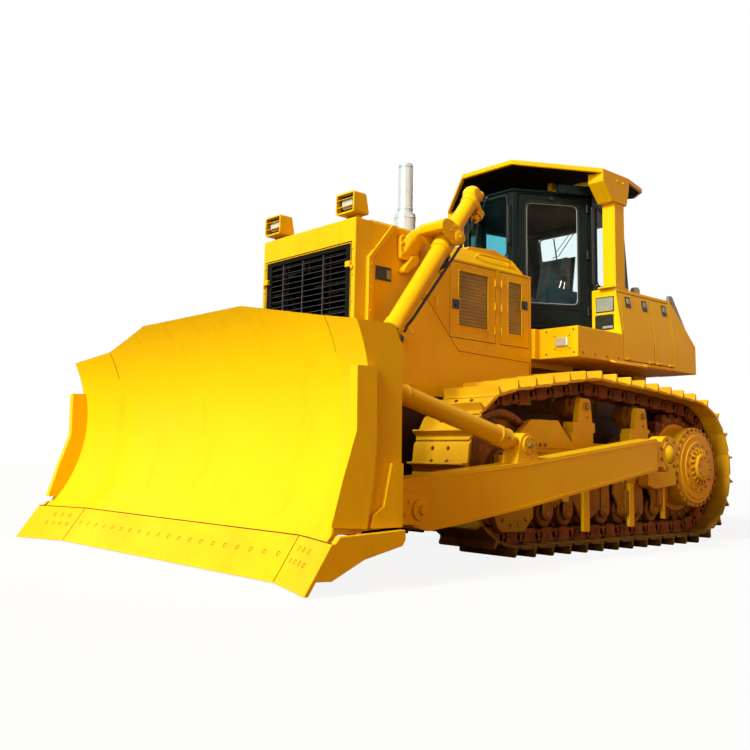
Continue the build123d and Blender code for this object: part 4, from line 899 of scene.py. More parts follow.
@dataclass
class RunningGear:
    """Wheels, track frames and final drives."""

    gauge_half: float = 1.13
    idler: Flat = (2.9, 0.725)
    idler_radius: float = 0.5
    axle_z: float = 0.765
    tooth_tip: float = 0.583
    tooth_root: float = 0.528
    teeth: int = 21
    roller_x: tuple[float, ...] = (0.62, 0.908, 1.196, 1.484, 1.772, 2.06, 2.348)
    roller_z: float = 0.335
    carriers: tuple[Flat, ...] = ((1.79, 1.297), (0.845, 1.255))
    frame_wall: float = 1.3
    pin: Point = (1.15, 1.69, 0.88)

    def rollers(self) -> None:
        """Bottom rollers with flanges and shaft ends, and the carrier rollers above."""
        tread = [(-0.152, 0.03), (-0.15, 0.052), (-0.131, 0.06), (-0.13, 0.098), (-0.122, 0.112),
                 (-0.056, 0.114), (-0.05, 0.134), (0.05, 0.134), (0.056, 0.114), (0.122, 0.112),
                 (0.13, 0.098), (0.131, 0.06), (0.15, 0.052), (0.152, 0.03)]
        low, high = Shape(), Shape()
        for side in Side:
            y = side.sign * self.gauge_half
            for x in self.roller_x:
                low.turned(tread, (x, y, self.roller_z), (0, 1, 0), 40)
            for x, z in self.carriers:
                narrow = [(0.82 * along, 0.955 * radius) for along, radius in tread]
                high.turned(narrow, (x, y, z), (0, 1, 0), 40)
        low.place("bottom_roller_wheels", WHEEL, bevel=0.003, replaces=("bottom_rollers",))
        high.place("carrier_roller_wheels", WHEEL, bevel=0.003, replaces=("carrier_rollers",))

    def idlers(self) -> None:
        """Dished idler wheels with a worn tread, a hub and its bolts."""
        whole, bolts = Shape(), Shape()
        r, (x, z) = self.idler_radius, self.idler
        half = [(0.0, r + 0.017), (0.046, r + 0.014), (0.054, r - 0.006), (0.106, r - 0.01), (0.11, r - 0.02),
                (0.11, r - 0.062), (0.1, r - 0.072), (0.058, r - 0.085), (0.05, 0.2), (0.062, 0.165),
                (0.108, 0.152), (0.11, 0.1), (0.118, 0.09), (0.12, 0.03)]
        profile = [(-along, radius) for along, radius in reversed(half)] + half[1:]
        for side in Side:
            y = side.sign * self.gauge_half
            whole.turned(profile, (x, y, z), (0, 1, 0), 72)
            for out in (-1, 1):
                bolts.side_bolts(out, out * y + 0.109, 0.011, *circle((x, z), 0.125, turns(8)))
        whole.place("idler_wheels", WHEEL, bevel=0.003, replaces=("idlers",))
        bolts.place("idler_bolts", BOLT)

    def sprocket_outline(self) -> list[Flat]:
        """The toothed rim in side view, each valley a curve round the chain's bushing."""
        flank = [(0.08, self.tooth_tip), (0.15, self.tooth_tip - 0.012), (0.27, self.tooth_root + 0.016),
                 (0.38, self.tooth_root - 0.006)]
        valley = (-0.5, self.tooth_root - 0.012)
        tooth = [valley, *((-share, radius) for share, radius in flank[::-1]), *flank]
        step = 2 * math.pi / self.teeth
        made = []
        for middle in turns(self.teeth):
            for share, radius in tooth:
                made += circle((0, self.axle_z), radius, [middle + share * step])
        return made

    def final_drives(self) -> None:
        """Segmented sprockets with the round drive housing, its ribs, covers and bolt rings."""
        rims, cases, bolts, guards = Shape(), Shape(), Shape(), Shape()
        profile = [(-0.65, 0.325), (-0.06, 0.325), (-0.05, 0.42), (0.05, 0.45), (0.052, 0.395), (0.14, 0.395),
                   (0.148, 0.402), (0.2, 0.408), (0.264, 0.408), (0.27, 0.398), (0.272, 0.372), (0.284, 0.37),
                   (0.286, 0.33), (0.298, 0.325), (0.3, 0.262), (0.312, 0.258), (0.314, 0.2), (0.321, 0.198),
                   (0.321, 0.15), (0.33, 0.139), (0.362, 0.137), (0.369, 0.128), (0.37, 0.06)]
        axle = (0, self.axle_z)
        rings = ((self.teeth, 0.5, 0.487, 0.046, 0.014), (14, 0.25, 0.23, 0.312, 0.011),
                 (8, 0.25, 0.1, 0.369, 0.009))
        ribs = (0.136, 0.315), (0.136, 0.343), (0.176, 0.34), (0.19, 0.322)
        for side in Side:
            s = side.sign
            y = s * self.gauge_half
            at, axis = (0, y, self.axle_z), (0, s, 0)
            rims.prism(self.sprocket_outline(), Plane.SIDE, y - 0.046, y + 0.046)
            cases.turned(profile, at, axis, 64)
            guards.turned([(-0.2, 0.33), (-0.2, 0.645), (-0.185, 0.65), (-0.185, 0.33)], at, axis, 48)
            for count, start, radius, out, size in rings:
                spots = circle(axle, radius, turns(count, start))
                bolts.side_bolts(s, self.gauge_half + out, size, *spots)
            for x, z in circle(axle, 0.39, turns(28, 0.25)):
                bolts.turned([(0, 0.017), (0.02, 0.017)], (x, y + s * 0.268, z), axis, 6)
            for angle in turns(18):
                way = Vector((math.cos(angle), 0, math.sin(angle)))
                cross = Vector((-way.z, 0, way.x)) * 0.013
                rib = [Vector(at) + way * radius + Vector((0, s * out, 0)) for radius, out in ribs]
                cases.loft([[point - cross for point in rib], [point + cross for point in rib]])
        rims.place("sprocket_rims", CHAIN, bevel=0.004)
        cases.place("final_drive_housings", DRIVE_PAINT, bevel=0.004, replaces=("final_drives",))
        bolts.place("final_drive_bolts", BOLT)
        # guard discs behind the sprockets, in the hull's dark paint of dirt and painted shade
        guards.place("sprocket_guards", HULL_GRIME_AND_SHADE, bevel=0.003)

    def frames(self) -> None:
        """Track frames, hangers and their bolts, caps and weld beads."""
        bolts, beads, caps, covers, bars = (Shape() for _ in range(5))
        flat = rounded([(1.95, 0.9), (2.135, 1.072), (2.213, 1.15), (2.583, 1.143), (2.803, 0.985),
                        (2.803, 0.9)], 0.012, 3)
        wall, seam = self.frame_wall, 0.957
        flange = [(x, 0.625) for x in spread(0.72, 2.28, 14) if not 1.01 < x < 1.29]
        around_pin = [(self.pin[0] + 0.12 * math.cos(angle), self.pin[2] - 0.015 + 0.08 * math.sin(angle))
                      for angle in turns(8) if abs(math.sin(angle)) < 0.9]
        for side in Side:
            s = side.sign
            soften(f"track_frame_{side.value}", f"track_frame_body_{side.value}", GEAR_PAINT, 0.006)
            for low, high in ((0.952, 0.99), (1.27, 1.308)):
                covers.prism(flat, Plane.SIDE, *span(s, low, high))
            for x, z in self.carriers:
                caps.turned([(0, 0.036), (0.006, 0.036), (0.022, 0.03), (0.024, 0.012)], (x, s * 1.315, z),
                            (0, s, 0), 6)
                top = 1.128 if x < 1 else 1.151
                bolts.bolts([(x + step, s * 1.272, top) for step in (-0.075, 0.075)], (0, 0, 1), 0.013)
                bolts.side_bolts(s, wall, 0.009, (x - 0.03, z - 0.1))
            bolts.side_bolts(s, 1.308, 0.013, *((x, 0.93) for x in (2.40, 2.47, 2.54, 2.63, 2.7)))
            bolts.side_bolts(s, wall, 0.014, (2.66, 0.3), (2.76, 0.26), (2.86, 0.26), (2.96, 0.3),
                             (2.68, 0.48), (2.73, 0.56))
            bolts.side_bolts(s, wall, 0.012, *((x, 0.66) for x in spread(2.42, 2.95, 6)))
            bolts.bolts([(1.99, s * 1.2, 0.93), (2.34, s * 1.2, 1.145)], (0, 0, 1), 0.015)
            bolts.side_bolts(s, wall, 0.01, *flange)
            bolts.side_bolts(s, 1.462, 0.011, *around_pin)
            for path, size in (([(0.66, seam), (1.02, seam)], 0.005), ([(1.29, seam), (1.66, seam)], 0.005),
                               ([(1.03, 0.774), (1.03, 0.95), (1.27, 0.95), (1.27, 0.774)], 0.006)):
                beads.bead([(x, s * wall, z) for x, z in path], size)
            ends = [(x + step, 0.618) for x in self.roller_x for step in (-0.045, 0.045)]
            bolts.side_bolts(s, wall, 0.013, *ends)
            bolts.side_bolts(-s, -0.96, 0.013, *ends)
            for x, low, wide in ((0.515, 0.25, 0.02), (1.097, 0.19, 0.038), (1.834, 0.17, 0.044),
                                 (2.14, 0.44, 0.034)):
                bars.prism(oblong((x - wide, x + wide), (low, 0.6), 0.008, 3), Plane.SIDE,
                           *span(s, wall, 1.335))
                bars.side_bolts(s, 1.335, 0.011, (x, 0.57))
        soften("bogies", "roller_hangers", BOGIE_GRIME_AND_SHADE, 0.005)
        bars.place("roller_guard_bars", PAINT, bevel=0.004)
        soften("cross_shafts", "pivot_and_equalizer_shafts", HULL_GRIME_AND_SHADE, 0.008)
        bolts.place("track_frame_bolts", BOLT)
        covers.place("recoil_housing_covers", GEAR_PAINT, bevel=0.006)
        caps.place("carrier_shaft_caps", BOLT, bevel=0.002)
        beads.place("track_frame_welds", GEAR_PAINT)

    def collars(self) -> None:
        """End collars that carry the bottom rollers' shafts under the frame."""
        collars = Shape()
        outline = rounded([(-0.075, -0.045), (0.075, -0.045), (0.062, 0.262), (-0.062, 0.262)],
                          (0.07, 0.07, 0.01, 0.01), 5)
        for side in Side:
            for x in self.roller_x:
                points = [(x + a, self.roller_z + b) for a, b in outline]
                for way, low, face in ((-1, -0.166, -0.166), (1, 0.154, 0.166)):
                    y = side.sign * self.gauge_half
                    collars.prism(points, Plane.SIDE, y + low, y + low + 0.012)
                    collars.turned([(0, 0.034), (0.012, 0.034), (0.016, 0.026)], (x, y + face, self.roller_z),
                                   (0, way, 0), 16)
        collars.place("roller_collars", BOGIE_GRIME_AND_SHADE, bevel=0.002)

    def build(self) -> None:
        """Makes all of the running gear."""
        self.rollers()
        self.collars()
        self.idlers()
        self.final_drives()
        self.frames()
        log.info("running gear: %d bottom rollers a side", len(self.roller_x))


@dataclass
class Blade:
    """The moldboard with its beams, edges, bolts and built-up ends."""

    knee: float = 1.577
    turn: float = math.radians(19.4)
    edge_top: Flat = (5.254, 0.289)
    edge_bottom: Flat = (5.446, 0.012)
    arc: Point = (6.124, 1.07, 1.184)
    edge_bolts: int = 20
    ear: Flat = (4.467, 0.444)
    lug: Flat = (4.75, 1.28)
    eye: Flat = (4.6645, 0.7685)

    def edge_point(self, y: float, share: float) -> Vector:
        """A point on the cutting edge's face, by its share of the way down."""
        x = self.edge_top[0] + share * (self.edge_bottom[0] - self.edge_top[0])
        z = self.edge_top[1] + share * (self.edge_bottom[1] - self.edge_top[1])
        return Vector((x + max(abs(y) - self.knee, 0) * math.tan(self.turn), y, z))

    def edge_normal(self, y: float) -> Vector:
        """The way that the cutting edge's face looks."""
        down = self.edge_point(y, 1) - self.edge_point(y, 0)
        along = Vector((math.sin(self.turn) * (1 if y > 0 else -1), math.cos(self.turn), 0))
        along = along if abs(y) > self.knee else Vector((0, 1, 0))
        normal = down.cross(along).normalized()
        return normal if normal.x > 0 else -normal

    def face_x(self, z: float, back: float = 0.0) -> float:
        """How far ahead the moldboard's face, or a layer behind it, is at a height."""
        x, middle, radius = self.arc
        return x - math.sqrt((radius + back) ** 2 - (z - middle) ** 2)

    def edges(self) -> None:
        """The cutting edges and end bits with their plow bolts and seams."""
        soften("cutting_edges", "cutting_edge_and_bits", EDGE_PAINT, 0.004, Body.BLADE.value)
        bolts, seams = Shape(), Shape()
        places = [(y, 0.42) for y in spread(-1.47, 1.47, self.edge_bolts)]
        for s in (-1, 1):
            places += [(s * y, 0.24) for y in (1.69, 1.78, 1.87)]
            places += [(s * y, 0.5) for y in (1.66, 1.74, 1.82, 1.9)]
            push = self.edge_normal(0) * 0.0005
            seams.tube([self.edge_point(s * 1.575, share) + push for share in (0.02, 0.98)], 0.0035, 6)
        for y, share in places:
            bolts.turned([(-0.002, 0.017), (0.0015, 0.017), (0.0005, 0.0125), (-0.003, 0.012)],
                         self.edge_point(y, share), self.edge_normal(y), 12)
        line = [self.edge_point(y, -0.005) + self.edge_normal(y) * 0.0005
                for y in (-2.13, -1.577, 1.577, 2.13)]
        seams.tube(line, 0.004, 6)
        bolts.place("plow_bolts", CHAIN, Body.BLADE.value)
        seams.place("edge_seams", CHAIN, Body.BLADE.value)

    def board(self) -> None:
        """The moldboard, its weld beads and the bolts and caps of its pins."""
        soften("moldboard", "moldboard_body", BLADE_PAINT, 0.004, Body.BLADE.value, edge=24)
        beads, bolts = Shape(), Shape()
        (ear_x, ear_z), (lug_x, lug_z), (eye_x, eye_z) = self.ear, self.lug, self.eye
        for s in (-1, 1):
            for z in (0.33, 0.6, 1.33, 1.56):
                x = self.face_x(z, 0.03)
                beads.bead([(x, s * 0.02, z), (x, s * self.knee, z)], 0.006)
            for y in (0.36, 0.39, 1.29, 1.32):
                beads.bead([(self.face_x(z, 0.03), s * y, z) for z in spread(0.62, 1.31, 9)], 0.006)
            bolts.boss([(0, 0.07), (0.006, 0.07), (0.006, 0.056), (0.01, 0.054)], s, (ear_x, 1.859, ear_z),
                       28)
            bolts.side_bolts(s, 1.868, 0.034, (ear_x, ear_z), washer=False)
            bolts.side_bolts(s, 1.867, 0.008, *circle((ear_x, ear_z), 0.046, (0.5, 2.6, 4.7)), washer=False)
            bolts.side_bolts(s, 1.841, 0.012, (4.56, 0.5), (4.6, 0.42))
            for path in ([(5.09, 0.92), (5.105, 0.7), (5.14, 0.4)],
                         [(4.86, 0.75), (4.94, 0.752), (5.0, 0.49)]):
                beads.bead([(x, s * 2.052, z) for x, z in path], 0.006)
            bolts.boss([(0, 0.052), (0.008, 0.052), (0.012, 0.044)], s, (lug_x, 1.8, lug_z), 24)
            bolts.side_bolts(s, 1.81, 0.018, (lug_x, lug_z), washer=False)
            for way in (-1, 1):
                y, out = s * (0.93 + way * 0.116), s * way
                bolts.turned([(0, 0.062), (0.01, 0.062), (0.014, 0.05)], (eye_x, y, eye_z), (0, out, 0), 24)
                heads = circle((eye_x, eye_z), 0.042, [0.785 + turn for turn in turns(4)])
                bolts.bolts([(x, y + out * 0.012, z) for x, z in heads], (0, out, 0), 0.008, False)
        beads.place("moldboard_welds", BLADE_PAINT, Body.BLADE.value)
        bolts.place("blade_pin_caps", BLADE_PAINT, Body.BLADE.value, bevel=0.0015)

    def build(self) -> None:
        """Makes the blade."""
        self.edges()
        self.board()
        log.info("blade: %d bolts in the main edge", self.edge_bolts)


@dataclass
class PushFrame:
    """The push arms and the braces that tilt the blade."""

    arm_y: float = 1.69
    arm_half: float = 0.1
    pivot: Flat = (1.15, 0.88)
    brace_foot: Flat = (3.215, 0.905)
    brace_head: Flat = (4.75, 1.28)

    def on_brace(self, along: float, side: int) -> Vector:
        """A point on a brace's axis, from its foot."""
        foot, head = Vector(self.brace_foot), Vector(self.brace_head)
        x, z = foot + (head - foot).normalized() * along
        return Vector((x, side * self.arm_y, z))

    def build(self) -> None:
        """Makes arms and braces."""
        soften("push_arms", "push_arm_beams", PAINT, 0.007, Body.BLADE.value)
        soften("braces", "tilt_braces", PAINT, 0.004, Body.BLADE.value)
        bolts, beads, rims = Shape(), Shape(), Shape()
        (px, pz), (fx, fz), face = self.pivot, self.brace_foot, self.arm_y + 0.075
        for s in (-1, 1):
            for y in (s * (self.arm_y + self.arm_half), s * (self.arm_y - self.arm_half)):
                beads.bead([(1.44, y, 0.745), (3.23, y, 0.455), (4.0, y, 0.353)], 0.004)
                beads.bead([(1.44, y, 0.985), (3.226, y, 0.757), (4.5, y, 0.63)], 0.004)
            spots = product((s * self.arm_y - 0.07, s * self.arm_y + 0.07), (0.765, 0.83, 0.93, 0.985))
            bolts.bolts([(1.37, y, z) for y, z in spots], (-1, 0, 0), 0.014)
            bolts.side_bolts(s, face, 0.013, *circle((px, pz), 0.14, spread(0.35, 5.93, 7)))
            rims.ring((px, s * face, pz), (0, s, 0), (0.09, 0.118), (-0.002, 0.008), 40)
            rims.boss([(0, 0.088), (0.004, 0.086), (0.012, 0.05), (0.013, 0.01)], s, (px, face, pz), 32)
            rims.boss([(-0.002, 0.072), (0.01, 0.072), (0.014, 0.066), (0.014, 0.04)], s, (fx, face, fz), 32)
            bolts.side_bolts(s, face + 0.013, 0.024, (fx, fz), washer=False)
            bolts.side_bolts(s, face + 0.013, 0.007, *circle((fx, fz), 0.055, turns(6)), washer=False)
            beads.bead([(3.07, s * face, 0.79), (3.36, s * face, 0.752)], 0.007)
            way = (self.on_brace(1, s) - self.on_brace(0, s)).normalized()
            for along, size in ((0.186, 0.081), (0.292, 0.081), (1.3, 0.074)):
                rims.ring(self.on_brace(along, s), way, (0.06, size), (-0.009, 0.009), 32)
            across = way.orthogonal().normalized()
            for angle in (0.6, 2.2, 3.9, 5.4):
                out = across * math.cos(angle) + way.cross(across) * math.sin(angle)
                bolts.bolt(self.on_brace(0.24, s) + out * 0.078, out, 0.009)
        bolts.place("push_arm_bolts", BOLT, Body.BLADE.value)
        beads.place("push_arm_welds", PAINT, Body.BLADE.value)
        rims.place("push_arm_caps", GEAR_PAINT, Body.BLADE.value, bevel=0.002)
        log.info("push arms and braces")


@dataclass
class LiftCylinders:
    """The two lift cylinders with their yokes, pipes and glands."""

    trunnion: Point = (3.27, 0.93, 2.66)
    lean: float = math.radians(53.6)
    eye_distance: float = 2.35

    def at(self, along: float, out: float = 0.0, across: float = 0.0) -> Vector:
        """A point on the left cylinder: down its axis, out ahead of it and across it."""
        x, y, z = self.trunnion
        c, s = math.cos(self.lean), math.sin(self.lean)
        return Vector((x + along * c + out * s, y + across, z - along * s + out * c))

    def barrel(self) -> tuple[Shape, Shape, Shape]:
        """The barrel with its castings, its pipes and its small dark fittings."""
        body, pipes, fittings = Shape(), Shape(), Shape()
        start, way = self.at(0), self.at(1) - self.at(0)
        profile = [(-0.53, 0.05), (-0.53, 0.074), (-0.522, 0.08), (-0.475, 0.08), (-0.468, 0.0695),
                   (-0.1, 0.0695), (-0.092, 0.088), (-0.084, 0.0925), (0.124, 0.0925), (0.13, 0.088),
                   (0.134, 0.079), (0.99, 0.079), (0.994, 0.087), (1.046, 0.087), (1.053, 0.08),
                   (1.054, 0.047), (0.9, 0.047)]
        body.turned(profile, start, way, 48)
        for side in (-1, 1):
            body.turned([(0.082, 0.0446), (0.152, 0.0446), (0.152, 0.02)], start, (0, side, 0), 32)
        body.turned([(-0.075, 0.02), (-0.07, 0.045), (-0.05, 0.065), (-0.02, 0.076), (0.02, 0.077),
                     (0.05, 0.064), (0.07, 0.044), (0.075, 0.02)], self.at(-0.575, 0.025), (0, 1, 0), 28)
        body.tube(self.run((-0.555, 0), (-0.64, -0.05), (-0.645, -0.06)), 0.047, 20, 0.03)
        body.tube(self.run((-0.575, 0), (-0.545, -0.07), (-0.505, -0.14), (-0.41, -0.14)), 0.036, 20, 0.05)
        for along in (-0.515, -0.482):
            body.turned([(0, 0.054), (0.024, 0.054)], self.at(along, -0.14), way, 28)
        for along in (0.3, 0.62):
            body.tube(self.run((along, -0.075, 0.02), (along, -0.125, 0.02)), 0.012, 8)
        for along, out, radius, facing, size in ((-0.458, -0.14, 0.042, way, 0.0075),
                                                 (1.053, 0, 0.062, way, 0.0075),
                                                 (-0.53, 0, 0.062, -way, 0.0085)):
            ring = circle((0, out), radius, turns(6))
            fittings.bolts([self.at(along, b, a) for a, b in ring], facing, size, False)
        pipes.tube(self.run((-0.42, -0.14), (-0.3, -0.14), (-0.14, -0.125, 0.05), (0.14, -0.112, 0.06),
                            (0.86, -0.106, 0.02), (0.95, -0.1), (0.97, -0.07)), 0.0125, 12, 0.06)
        pipes.tube(self.run((-0.4, -0.09, -0.03), (-0.16, -0.105, -0.05), (0.02, -0.13, -0.06),
                            (0.1, -0.16, -0.06)), 0.0125, 12, 0.06)
        fittings.turned([(-0.02, 0.02), (-0.02, 0.026), (0.02, 0.026), (0.02, 0.02)], self.at(0.955, -0.098),
                        way, 8)
        fittings.turned([(0, 0.024), (0.02, 0.024)], self.at(0.97, -0.086), self.at(0, 1) - self.at(0), 8)
        return body, pipes, fittings

    def build(self) -> None:
        """Makes both cylinders."""
        body, pipes, fittings = self.barrel()
        rod, eyes = Shape(), Shape()
        way, eye = self.at(1) - self.at(0), self.at(self.eye_distance)
        rod.turned([(0.55, 0.03), (0.55, 0.0445), (2.2, 0.0445), (2.26, 0.062), (2.3, 0.062)], self.at(0),
                   way, 40)
        eyes.ring(eye, (0, 1, 0), (0.05, 0.0895), (-0.064, 0.064), 40)
        eyes.turned([(-0.1, 0.03), (-0.1, 0.0495), (0.1, 0.0495), (0.1, 0.03)], eye, (0, 1, 0), 28)
        for side in Side:
            name, flip = side.value, Matrix.Diagonal((1, side.sign, 1, 1))
            barrel, moving = Body.BARREL.on(side), Body.ROD.on(side)
            for made, piece, finish, carrier, looks in (
                    (body, "cylinder", BARREL_PAINT, barrel,
                     {"bevel": 0.003, "replaces": (f"lift_barrel_{name}",)}),
                    (pipes, "cylinder_pipes", BLACK, barrel, {}),
                    (fittings, "cylinder_fittings", BLACK, barrel, {}),
                    (rod, "cylinder_rod", CHROME, moving, {"replaces": (f"lift_rod_{name}",)}),
                    (eyes, "cylinder_eye", BARREL_PAINT, moving, {"bevel": 0.003})):
                Shape().merge(made, flip).place(f"{piece}_{name}", finish, carrier, **looks)
        self.yokes()
        log.info("lift cylinders")

    def yokes(self) -> None:
        """The yokes' castings with their bolts, pin caps and feed pipes."""
        bolts, pipes, black, cast = Shape(), Shape(), Shape(), Shape()
        x, _, z = self.trunnion
        arm = rounded(self.beside((-0.03, -0.072), (0.05, -0.066), (0.14, -0.005), (0.21, 0.045),
                                  (0.212, 0.1), (0.16, 0.138), (0.09, 0.132), (-0.03, 0.07)),
                      (0.06, 0.03, 0.05, 0.03, 0.04, 0.04, 0.03, 0.06), 5)
        bridge = rounded(self.beside((0.1, 0.035), (0.2, 0.035), (0.212, 0.1), (0.165, 0.138), (0.09, 0.128)),
                         0.03, 5)
        pad = rounded(self.beside((0.11, -0.18), (0.32, -0.18), (0.325, 0.03), (0.13, 0.04)), 0.03, 5)
        rib = rounded(self.beside((0.12, -0.19), (0.28, -0.31), (0.315, -0.28), (0.2, -0.14), (0.13, -0.12)),
                      0.025, 5)
        lobe = [(0.69, (0.125, -0.15), (0.29, -0.15), (0.3, 0.02), (0.14, 0.035)),
                (0.715, (0.12, -0.13), (0.28, -0.12), (0.285, 0.035), (0.135, 0.05)),
                (0.75, (0.1, -0.05), (0.245, -0.04), (0.26, 0.075), (0.115, 0.095)),
                (0.785, (0.09, 0.0), (0.22, 0.015), (0.23, 0.1), (0.1, 0.122)),
                (0.81, (0.1, 0.02), (0.205, 0.035), (0.215, 0.1), (0.1, 0.13))]
        for s in (1, -1):
            for outline, low, high in ((arm, 0.778, 0.818), (arm, 1.042, 1.082), (bridge, 0.78, 1.08),
                                       (pad, 0.656, 0.701), (rib, 0.656, 0.73)):
                cast.slab(outline, s, low, high)
            cast.stack(Plane.SIDE, *((s * y, rounded(self.beside(*corners), 0.04)) for y, *corners in lobe))
            bolts.side_bolts(s, 0.701, 0.014, (3.41, 2.51), (3.48, 2.51), (3.41, 2.6), (3.57, 2.53),
                             (3.57, 2.62), (3.57, 2.68))
            for y, way in ((0.778, -1), (1.082, 1)):
                out = (0, s * way, 0)
                bolts.turned([(0, 0.058), (0.012, 0.058), (0.016, 0.05)], (x, s * y, z), out, 28)
                bolts.bolt((x, s * (y + 0.015 * way), z), out, 0.016, False)
            bolts.side_bolts(s, 1.082, 0.009, (3.33, 2.745), (3.37, 2.7))
            pipes.tube(sided(s, (3.2, 0.66, 2.58), (3.2, 0.75, 2.6), (3.2, 0.79, 2.62)), 0.014, 12, 0.04)
            black.tube(sided(s, (3.13, 0.655, 2.47), (3.13, 0.72, 2.47), (3.09, 0.745, 2.5),
                             (3.06, 0.745, 2.58)), 0.022, 14, 0.05)
            black.boss([(0, 0.034), (0.016, 0.034), (0.02, 0.028)], s, (3.13, 0.656, 2.47), 6)
            black.turned([(0, 0.03), (0.02, 0.03)], (3.06, s * 0.745, 2.57), (0, 0, 1), 6)
        cast.place("cylinder_yokes", PAINT, bevel=0.009, segments=3, replaces=("lift_yokes",))
        bolts.place("yoke_bolts", PAINT)
        pipes.place("yoke_pipes", PAINT)
        black.place("yoke_elbows", BLACK)

    def run(self, *points: Sequence[float]) -> list[Vector]:
        """A path of points on the left cylinder, each as for the method at."""
        return [self.at(*point) for point in points]

    def beside(self, *points: Flat) -> list[Flat]:
        """Points in side view, given from the trunnion."""
        return [(self.trunnion[0] + ahead, self.trunnion[2] + up) for ahead, up in points]


